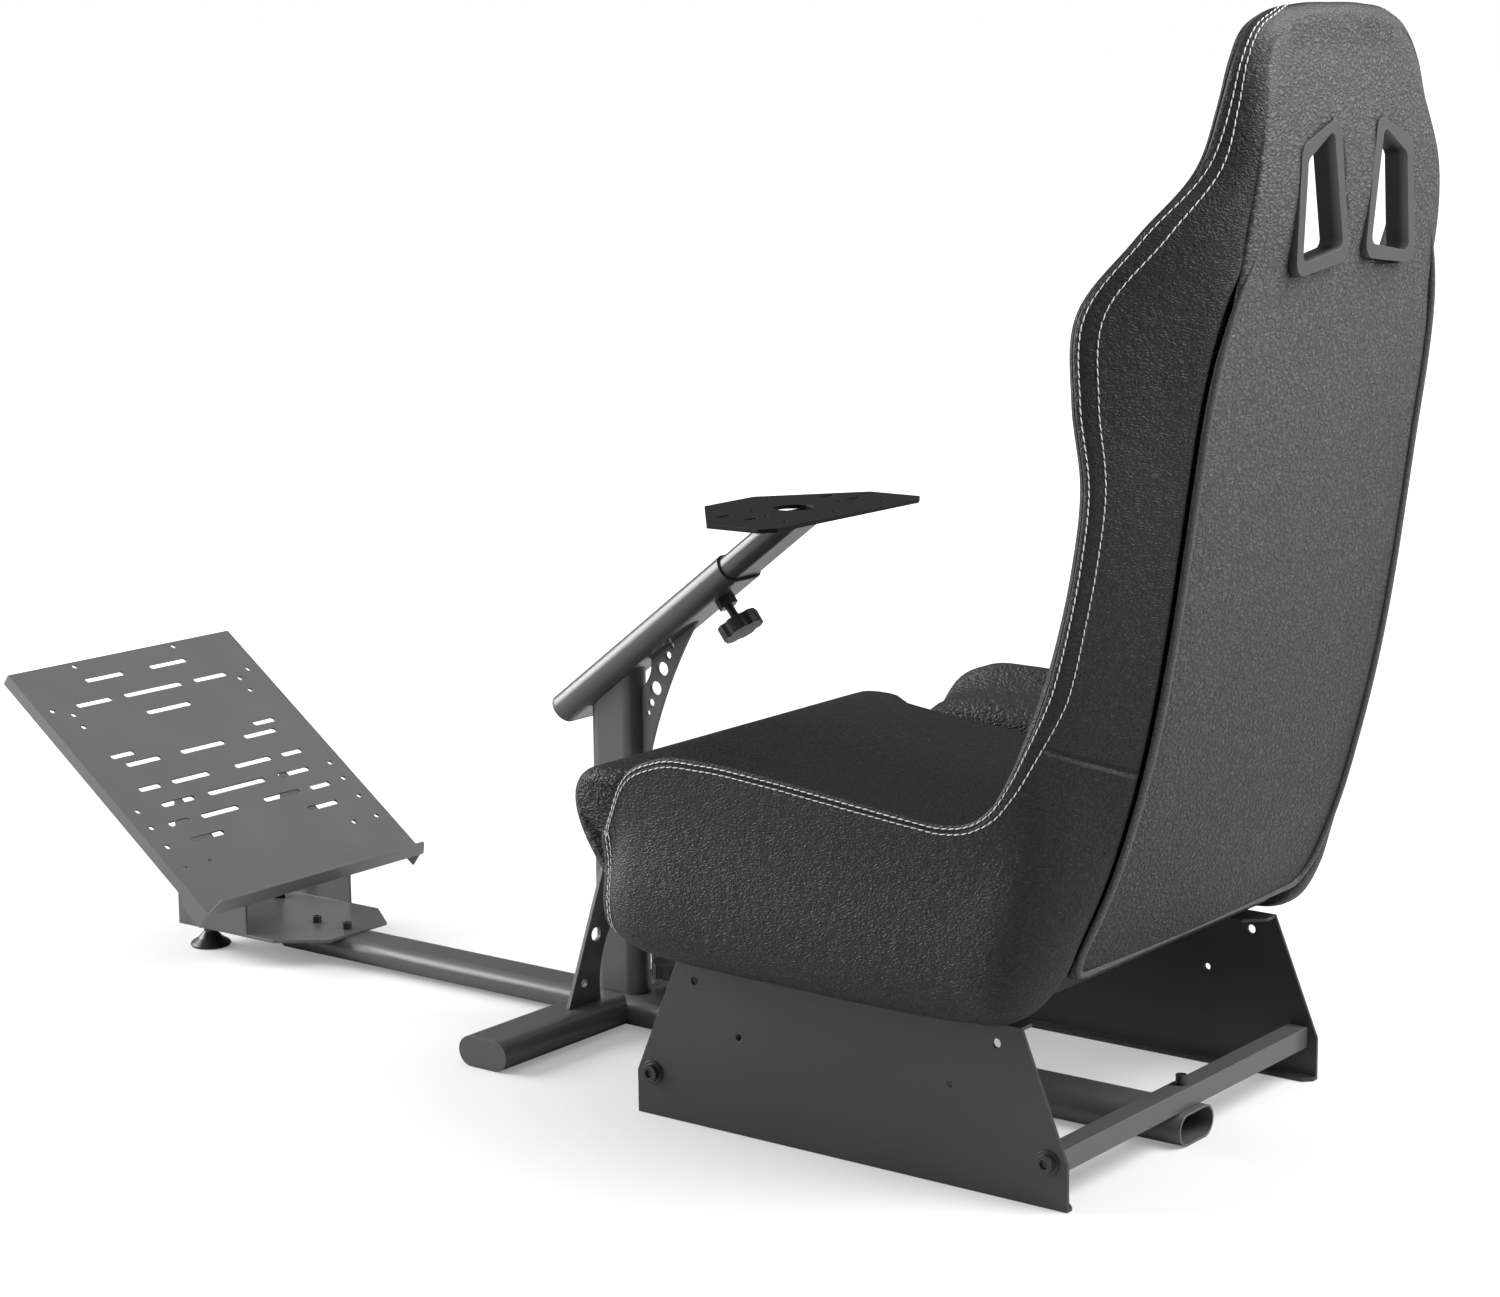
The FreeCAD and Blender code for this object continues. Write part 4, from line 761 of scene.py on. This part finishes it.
def new_group(name, inputs, outputs):
    """A shader node group with named value inputs and outputs."""
    group = bpy.data.node_groups.new(name, "ShaderNodeTree")
    for label, kind, value in inputs:
        socket = group.interface.new_socket(label, in_out="INPUT", socket_type=kind)
        if value is not None:
            socket.default_value = value
    for label, kind in outputs:
        group.interface.new_socket(label, in_out="OUTPUT", socket_type=kind)
    return group, group.nodes.new("NodeGroupInput"), group.nodes.new("NodeGroupOutput")


def feed(tree, item, sources):
    """Set a node's inputs to values or join them to sockets."""
    for key, source in sources.items():
        if isinstance(source, bpy.types.NodeSocket):
            tree.links.new(source, item.inputs[key])
        else:
            item.inputs[key].default_value = source


def node(tree, kind, sources=None, **settings):
    """A node with its settings and its inputs."""
    item = tree.nodes.new(kind)
    for key, value in settings.items():
        setattr(item, key, value)
    feed(tree, item, sources or {})
    return item


def math_node(tree, operation, *values):
    """A math node's value."""
    return node(tree, "ShaderNodeMath", dict(enumerate(values)), operation=operation).outputs[0]


def linear(tree, value, factor, offset):
    """A value times a factor plus an offset."""
    return math_node(tree, "MULTIPLY_ADD", value, factor, offset)


def vector_node(tree, operation, *values):
    """A vector math node's vector."""
    return node(tree, "ShaderNodeVectorMath", dict(enumerate(values)), operation=operation).outputs[0]


def scaled(tree, vector, factor):
    """A vector or colour times a factor."""
    return node(tree, "ShaderNodeVectorMath", {0: vector, "Scale": factor}, operation="SCALE").outputs[0]


def carried(tree, value, low, high, start=0.0, end=1.0, kind="LINEAR"):
    """A value carried from one range to another and held at its ends."""
    sources = {"Value": value, "From Min": low, "From Max": high, "To Min": start, "To Max": end}
    return node(tree, "ShaderNodeMapRange", sources, interpolation_type=kind).outputs["Result"]


def noise(tree, place, scale, detail):
    """A noise texture's outputs, its value and its colour."""
    return node(tree, "ShaderNodeTexNoise", {"Vector": place, "Scale": scale, "Detail": detail}).outputs


def blended(tree, factor, first, second):
    """Two values mixed by a factor."""
    return node(tree, "ShaderNodeMix", {"Factor": factor, "A": first, "B": second}).outputs["Result"]


def mixed(tree, factor, first, second):
    """Two colours mixed by a factor."""
    sources = {"Factor": factor, 6: first, 7: second}
    return node(tree, "ShaderNodeMix", sources, data_type="RGBA").outputs[2]


def attribute(tree, name):
    """A value that a piece carries at its points."""
    return node(tree, "ShaderNodeAttribute", attribute_name=name).outputs["Fac"]


def surface_group(name, label, value):
    """A shader node group that makes a surface's height, shade and gloss from its place."""
    return new_group(
        name, [("Vector", "NodeSocketVector", None), (label, "NodeSocketFloat", value)],
        [("Height", "NodeSocketFloat"), ("Shade", "NodeSocketFloat"), ("Gloss", "NodeSocketFloat")])


def leather_group():
    """Leather grain: soft pebbles wider than tall, from warped cell borders and stretched noise, with
    a slow change over the hide; the valleys are darker and duller."""
    group, enter, leave = surface_group("Leather Grain", "Cells", 190.0)
    place = enter.outputs["Vector"]
    cells = enter.outputs["Cells"]
    warp = noise(group, place, 110.0, 1.0)["Color"]
    shift = scaled(group, vector_node(group, "SUBTRACT", warp, (0.5, 0.5, 0.5)), 0.007)
    moved = vector_node(group, "ADD", place, shift)
    tall = vector_node(group, "MULTIPLY", moved, (1.0, 1.0, 1.8))
    pebble = node(group, "ShaderNodeTexVoronoi", {"Vector": tall, "Scale": cells}, feature="DISTANCE_TO_EDGE")
    soft = carried(group, pebble.outputs["Distance"], 0.0, 0.34, kind="SMOOTHSTEP")
    wave = noise(group, tall, math_node(group, "MULTIPLY", cells, 1.6), 1.0)["Fac"]
    slow = noise(group, place, 9.0, 3.0)["Fac"]
    height = math_node(group, "ADD", math_node(group, "MULTIPLY", soft, 0.45), wave)
    top = carried(group, height, 0.40, 1.05)
    shade = linear(group, top, 0.70, 0.55)
    drift = linear(group, slow, 0.30, -0.15)
    dull = linear(group, top, -0.16, 0.09)
    sheen = linear(group, slow, 0.16, -0.08)
    feed(group, leave, {
        "Height": height, "Shade": math_node(group, "ADD", shade, drift),
        "Gloss": math_node(group, "ADD", dull, sheen)})
    return group


def paint_group():
    """Powder paint: fine orange peel and specks, with slow patches of sheen."""
    group, enter, leave = surface_group("Powder Paint", "Grain", PAINT_GRAIN)
    place = enter.outputs["Vector"]
    peel = noise(group, place, enter.outputs["Grain"], 2.0)["Fac"]
    speck = noise(group, place, 2600.0, 1.0)["Fac"]
    slow = noise(group, place, 14.0, 4.0)["Fac"]
    tone = linear(group, speck, 0.36, 0.74)
    drift = linear(group, slow, 0.22, -0.03)
    feed(group, leave, {
        "Height": linear(group, speck, 0.5, peel), "Shade": math_node(group, "ADD", tone, drift),
        "Gloss": linear(group, slow, 0.14, -0.07)})
    return group


def edge_wear_and_highlight_group():
    """Rubbed edges and painted edge highlight: where the softened normal leaves the flat one, broken up by
    noise, the colour turns paler, standing both for wear and for the light that the edges catch."""
    group, enter, leave = new_group(
        "Edge Rub",
        [("Vector", "NodeSocketVector", None), ("Soft", "NodeSocketVector", None),
         ("Flat", "NodeSocketVector", None), ("Color", "NodeSocketColor", None)],
        [("Color", "NodeSocketColor")])
    tint = enter.outputs["Color"]
    lean = node(group, "ShaderNodeVectorMath", {0: enter.outputs["Soft"], 1: enter.outputs["Flat"]},
                operation="DOT_PRODUCT").outputs["Value"]
    # Painted edge highlight and edge wear: the colour turns paler on the edges.
    edge = carried(group, lean, 0.995, 0.86)
    patch = noise(group, enter.outputs["Vector"], 60.0, 3.0)["Fac"]
    worn_and_lit = math_node(group, "MULTIPLY", edge, linear(group, patch, 1.1, -0.1))
    pale = vector_node(group, "MULTIPLY_ADD", tint, (2.2, 2.2, 2.2), (0.05, 0.05, 0.05))
    feed(group, leave, {"Color": mixed(group, worn_and_lit, tint, pale)})
    return group


def shared(name, build):
    """A node group, built the first time it is asked for."""
    return bpy.data.node_groups.get(name) or build()


Surface = namedtuple("Surface", "material tree shader place effect relief")


def new_material(name):
    """A material with its nodes, its shader and the place on the piece."""
    material = bpy.data.materials.new(name)
    material.use_nodes = True
    tree = material.node_tree
    return material, tree, tree.nodes["Principled BSDF"], node(tree, "ShaderNodeTexCoord").outputs["Object"]


def grained(name, tint, group, grain, rough, bump, specular):
    """A painted, moulded or leather surface: the group's shade on the colour, its gloss on the
    roughness and its height as a bump."""
    material, tree, shader, place = new_material(name)
    effect = node(tree, "ShaderNodeGroup", {"Vector": place, 1: grain}, node_tree=group)
    relief = node(tree, "ShaderNodeBump", {"Height": effect.outputs["Height"], "Distance": bump})
    feed(tree, shader, {
        "Base Color": scaled(tree, tuple(tint), effect.outputs["Shade"]),
        "Roughness": math_node(tree, "ADD", effect.outputs["Gloss"], rough),
        "Normal": relief.outputs[0], "Specular IOR Level": specular})
    return Surface(material, tree, shader, place, effect, relief)


def base_of(surface):
    """What is joined to a surface's base colour."""
    return surface.shader.inputs["Base Color"].links[0].from_socket


def set_base(surface, source):
    """Join a colour to a surface's base colour."""
    feed(surface.tree, surface.shader, {"Base Color": source})


def paint(name, tint, rough, specular, peel):
    """A powder-painted or moulded surface, with softened edges, paler where rubbed and where an edge
    highlight is painted.
    """
    surface = grained(name, tint, shared("Powder Paint", paint_group), PAINT_GRAIN, rough, peel, specular)
    tree = surface.tree
    edge = node(tree, "ShaderNodeBevel", {"Radius": EDGE_RADIUS}, samples=6).outputs[0]
    flat = node(tree, "ShaderNodeNewGeometry").outputs["Normal"]
    sources = {"Vector": surface.place, "Soft": edge, "Flat": flat, "Color": base_of(surface)}
    edge_wear_and_highlight = node(tree, "ShaderNodeGroup", sources, node_tree=shared("Edge Rub", edge_wear_and_highlight_group))
    feed(tree, surface.relief, {"Normal": edge})
    set_base(surface, edge_wear_and_highlight.outputs["Color"])
    return surface


def leather(name, tint, grain):
    """A grained leather surface."""
    return grained(name, tint, shared("Leather Grain", leather_group), *grain)


def trim_finish_with_painted_shade(tint):
    """Moulded trim of the harness openings, with painted shade that darkens it with the depth of the opening.
    """
    surface = paint("bezel_finish", tint, *TRIM[:2], FITTING_PEEL)
    ahead = node(surface.tree, "ShaderNodeSeparateXYZ", {0: surface.place}).outputs["Y"]
    # Painted shade: the trim darkens deeper in the opening.
    depth = carried(surface.tree, ahead, *TRIM_PAINTED_SHADE)
    set_base(surface, scaled(surface.tree, base_of(surface), depth))
    return surface.material


def back_leather_with_painted_shade(tint):
    """Leather of the rear cover, with painted shade that darkens its colour towards the seat's foot."""
    surface = leather("back_leather", tint, BACK_GRAIN)
    up = node(surface.tree, "ShaderNodeSeparateXYZ", {0: surface.place}).outputs["Z"]
    # Painted shade: the colour darkens towards the seat's foot.
    fade = carried(surface.tree, up, *PAINTED_SHADE_FADE)
    set_base(surface, scaled(surface.tree, base_of(surface), fade))
    return surface.material


def side_leather(tint, rear_tint):
    """Bolster leather: fine grain, a coarse-grained insert where the piece is marked, a groove
    between the two stitched rows, a creased cross seam, and the back leather's paler tint on the
    head's rear, partly painted light on the lit rear-facing surfaces."""
    surface = leather("side_leather", tint, SIDE_GRAIN)
    tree = surface.tree
    effect = surface.effect.outputs
    sources = {"Vector": surface.place, "Cells": COARSE_CELLS}
    coarse = node(tree, "ShaderNodeGroup", sources, node_tree=shared("Leather Grain", leather_group))
    crisp = carried(tree, attribute(tree, "insert"), 0.4, 0.6)
    bold = math_node(tree, "MULTIPLY", coarse.outputs["Height"], 1.5)
    height = blended(tree, crisp, effect["Height"], bold)
    across = math_node(tree, "ABSOLUTE", attribute(tree, "across"))
    seam = math_node(tree, "ABSOLUTE", attribute(tree, "cross_seam"))
    groove = carried(tree, across, *SEAM_GROOVE, "SMOOTHSTEP")
    crease = carried(tree, seam, *CROSS_CREASE, "SMOOTHSTEP")
    total = math_node(tree, "ADD", math_node(tree, "ADD", height, groove), crease)
    feed(tree, surface.relief, {"Height": total})
    # The paler tint on the head's rear: partly the back leather's tone, partly painted light.
    pale = scaled(tree, tuple(rear_tint), effect["Shade"])
    set_base(surface, mixed(tree, attribute(tree, "rear"), base_of(surface), pale))
    return surface.material


def speckled(name, tint, scale, detail, change, rough):
    """The parts of a material whose colour a fine noise makes lighter and darker, and the noise."""
    material, tree, shader, place = new_material(name)
    speck = noise(tree, place, scale, detail)["Fac"]
    tone = linear(tree, speck, *change)
    feed(tree, shader, {"Base Color": scaled(tree, tuple(tint), tone), "Roughness": rough})
    return material, tree, shader, place, speck


def thread_material(tint):
    """Sewing thread: fine strands as a bump."""
    material, tree, shader, _, strand = speckled("thread", tint, 2400.0, 2.0, (0.30, 0.84), 0.65)
    relief = node(tree, "ShaderNodeBump", {"Height": strand, "Distance": 0.0003})
    feed(tree, shader, {"Normal": relief.outputs[0]})
    return material


# Stage

def floor_material(tint):
    """Pale floor with a faint grain, whose shadows stay light and whose far end goes white to the
    camera."""
    material, tree, shader, place, _ = speckled("studio_floor", tint, 40.0, 4.0, (0.02, 0.99), 0.7)
    seen = node(tree, "ShaderNodeLightPath").outputs["Is Camera Ray"]
    far = node(tree, "ShaderNodeVectorMath", {0: place}, operation="LENGTH").outputs["Value"]
    glow = math_node(tree, "MULTIPLY", seen, carried(tree, far, *FLOOR_GLOW))
    feed(tree, shader, {"Specular IOR Level": 0.2, "Emission Color": WHITE, "Emission Strength": glow})
    return material


def studio_world(strength):
    """Room light, dim at eye level and bright overhead, that the camera sees as white."""
    world = bpy.data.worlds.new("studio")
    world.use_nodes = True
    tree = world.node_tree
    ground = tree.nodes["Background"]
    aim = node(tree, "ShaderNodeTexCoord").outputs["Generated"]
    up = node(tree, "ShaderNodeSeparateXYZ", {0: aim}).outputs["Z"]
    low, high, dim, bright = ROOM_LIGHT
    light = carried(tree, up, low, high, dim * strength, bright * strength, "SMOOTHSTEP")
    seen = node(tree, "ShaderNodeLightPath").outputs["Is Camera Ray"]
    feed(tree, ground, {"Strength": blended(tree, seen, light, 1.0), "Color": WHITE})
    return world


def area_light(name, width, height, power, spot):
    """A rectangular light of a given power at its place, turned to its target."""
    light = bpy.data.lights.new(name, "AREA")
    light.shape = "RECTANGLE"
    light.size = width
    light.size_y = height
    light.energy = power
    place_light(light, *spot)


def floor_grid():
    """Points and faces of the level floor: an even grid a little below the part."""
    reach = np.linspace(-FLOOR_REACH, FLOOR_REACH, FLOOR_POINTS)
    u, v = np.meshgrid(reach, reach, indexing="ij")
    points = np.stack([u, v, np.full_like(u, -FLOOR_DROP)], -1).reshape(-1, 3)
    index = np.arange(FLOOR_POINTS**2).reshape(FLOOR_POINTS, FLOOR_POINTS)
    quads = np.stack([index[:-1, :-1], index[1:, :-1], index[1:, 1:], index[:-1, 1:]], -1).reshape(-1, 4)
    return points, quads.tolist()


def place_light(light, place, target):
    """Put a light at a place, turned to a target."""
    lamp = bpy.data.objects.new(light.name, light)
    away = Vector(place) - Vector(target)
    lamp.location = place
    lamp.rotation_euler = away.to_track_quat("Z", "Y").to_euler()
    bpy.context.scene.collection.objects.link(lamp)


# Operators, one for each piece or group of like pieces

def cover(names, finish):
    """Put one finish on solids of the frame."""
    for name in names:
        mesh = frame["nodes"][name].data
        mesh.materials.clear()
        mesh.materials.append(finish)


class COCKPIT_OT_painted_metal(bpy.types.Operator):
    """Paint the tubes, braces, side plates, pedal plate and wheel plate"""
    bl_idname = "cockpit.painted_metal"
    bl_label = "Painted metal"

    def execute(self, context):
        finishes = context.scene.cockpit_finishes
        for key, (rough, specular, names) in PAINTED.items():
            tint = getattr(finishes, key)
            cover(names, paint(f"{key}_paint", tint, rough, specular, PAINT_PEEL).material)
        return {"FINISHED"}


class COCKPIT_OT_fittings(bpy.types.Operator):
    """Finish the caps, bolts, feet, knobs and harness trim"""
    bl_idname = "cockpit.fittings"
    bl_label = "Caps, bolts, knobs and trim"

    def execute(self, context):
        finishes = context.scene.cockpit_finishes
        for key, (rough, specular, names) in FITTINGS.items():
            tint = getattr(finishes, key)
            cover(names, paint(f"{key}_finish", tint, rough, specular, FITTING_PEEL).material)
        cover(TRIM[-1], trim_finish_with_painted_shade(finishes.bezel))
        return {"FINISHED"}


class COCKPIT_OT_bolsters(bpy.types.Operator):
    """Build the wings and bolsters as one padded roll, with its double stitching"""
    bl_idname = "cockpit.bolsters"
    bl_label = "Wings and bolsters"

    def execute(self, context):
        sizes = context.scene.cockpit_sizes
        finishes = context.scene.cockpit_finishes
        grid, skirt = bolster_grid(sizes.row_step)
        normals = grid_normals(grid)
        item = ring_object("seat_bolsters", grid)
        mark_leather(item, grid, normals)
        settle(item, side_leather(finishes.side_leather, finishes.back_leather),
               nodes=("seat_side_left", "seat_side_right"))
        rows = [stitch_row(grid, normals, path, sizes) for path in seam_paths(grid, skirt, sizes)]
        stitches = stitch_object("bolster_stitches", rows)
        settle(stitches, thread_material(finishes.thread))
        return {"FINISHED"}


class COCKPIT_OT_seat_cushion(bpy.types.Operator):
    """Build the seat cushion between the wings"""
    bl_idname = "cockpit.seat_cushion"
    bl_label = "Seat cushion"

    def execute(self, context):
        sizes = context.scene.cockpit_sizes
        finishes = context.scene.cockpit_finishes
        grid = cushion_grid(sizes)
        item = ring_object("seat_pad", grid)
        x, y, z = np.abs(grid[..., 0]), grid[..., 1], grid[..., 2]
        top = ramp(z, 0.20, 0.06)
        side = ramp(-x, -CUSHION_HALF, 0.04)
        rear = ramp(y, -0.60, 0.05)
        nose = ramp(-y, 0.17, 0.10)
        swell(item, sizes.swell, top * side * rear * nose)
        settle(item, leather("cushion_leather", finishes.seat_leather, SEAT_GRAIN).material,
               nodes=("seat_cushion",))
        return {"FINISHED"}


class COCKPIT_OT_backrest(bpy.types.Operator):
    """Build the rear cover and the front padding of the back, open for the harness"""
    bl_idname = "cockpit.backrest"
    bl_label = "Backrest"

    def execute(self, context):
        sizes = context.scene.cockpit_sizes
        finishes = context.scene.cockpit_finishes
        step = sizes.row_step
        shell = ring_object("rear_cover", layer_grid(cover_rows(step), COVER_RING, 80, 0.0, COVER_THICKNESS))
        open_harness(shell)
        settle(shell, back_leather_with_painted_shade(finishes.back_leather), nodes=("seat_back_panel",))
        rows = back_rows(step)
        grid = layer_grid(rows, PAD_RING, 96, PAD_START, (rows[-1] - PAD_SETBACK)[:, None])
        item = ring_object("back_pad", grid)
        x, y, z = np.abs(grid[..., 0]), grid[..., 1], grid[..., 2]
        edge = ramp(-x, -x[:, PAD_EDGE].max(), 0.03)
        ahead = ramp(y, y.mean(1, keepdims=True), 0.01)
        foot = ramp(z, 0.24, 0.05)
        swell(item, sizes.swell * BACK_SWELL, edge * ahead * foot)
        open_harness(item)
        settle(item, leather("front_leather", finishes.seat_leather, SEAT_GRAIN).material,
               nodes=("seat_back_cushion",))
        return {"FINISHED"}


class COCKPIT_OT_piping(bpy.types.Operator):
    """Build the piping round the rear cover"""
    bl_idname = "cockpit.piping"
    bl_label = "Piping"

    def execute(self, context):
        sizes = context.scene.cockpit_sizes
        finishes = context.scene.cockpit_finishes
        item = ring_object("cover_piping", piping_grid(sizes))
        settle(item, leather("piping_leather", finishes.back_leather, PIPING_GRAIN).material)
        return {"FINISHED"}


class COCKPIT_OT_stage(bpy.types.Operator):
    """Set the floor, the soft light and the camera"""
    bl_idname = "cockpit.stage"
    bl_label = "Stage"

    def execute(self, context):
        settings = context.scene.cockpit_stage
        floor = add_object("floor", *floor_grid())
        floor.data.materials.append(floor_material(settings.floor))
        context.scene.world = studio_world(settings.world)
        sun = bpy.data.lights.new("broad_light", "SUN")
        sun.energy = settings.key
        sun.angle = math.radians(60)
        place_light(sun, *BROAD_LIGHT)
        area_light("rear_light", 2.2, 2.2, settings.rear, REAR_LIGHT)
        area_light("panel_light", 2.6, 1.8, settings.panel, PANEL_LIGHT)
        lens = bpy.data.cameras.new("camera")
        lens.sensor_fit = "HORIZONTAL"
        lens.sensor_width = 36
        lens.lens = settings.lens
        lens.clip_end = 200
        eye = bpy.data.objects.new("camera", lens)
        eye.matrix_world = CAMERA
        context.scene.collection.objects.link(eye)
        context.scene.camera = eye
        context.scene.view_settings.view_transform = "Standard"
        return {"FINISHED"}


STEPS = (
    COCKPIT_OT_painted_metal, COCKPIT_OT_fittings, COCKPIT_OT_bolsters, COCKPIT_OT_seat_cushion,
    COCKPIT_OT_backrest, COCKPIT_OT_piping, COCKPIT_OT_stage,
)


class COCKPIT_PT_panel(bpy.types.Panel):
    """Lists the cockpit's pieces and their settings"""
    bl_idname = "COCKPIT_PT_panel"
    bl_label = "Cockpit"
    bl_space_type = "VIEW_3D"
    bl_region_type = "UI"
    bl_category = "Cockpit"

    def draw(self, context):
        for step in STEPS:
            self.layout.operator(step.bl_idname)
        for name in GROUPS:
            group = getattr(context.scene, name)
            box = self.layout.box()
            for key in group.__annotations__:
                box.prop(group, key)


GROUPS = {"cockpit_finishes": CockpitFinishes, "cockpit_sizes": CockpitSizes, "cockpit_stage": CockpitStage}


def register():
    """Make the settings, operators and panel known."""
    for item in (*GROUPS.values(), *STEPS, COCKPIT_PT_panel):
        bpy.utils.register_class(item)
    for name, group in GROUPS.items():
        setattr(bpy.types.Scene, name, bpy.props.PointerProperty(type=group))


def unregister():
    """Take the settings, operators and panel away."""
    for name in GROUPS:
        delattr(bpy.types.Scene, name)
    for item in reversed((*GROUPS.values(), *STEPS, COCKPIT_PT_panel)):
        bpy.utils.unregister_class(item)


def main():
    """Build every piece in order."""
    register()
    bpy.ops.cockpit.painted_metal()
    bpy.ops.cockpit.fittings()
    bpy.ops.cockpit.bolsters()
    bpy.ops.cockpit.seat_cushion()
    bpy.ops.cockpit.backrest()
    bpy.ops.cockpit.piping()
    bpy.ops.cockpit.stage()


if __name__ == "__main__":
    main()
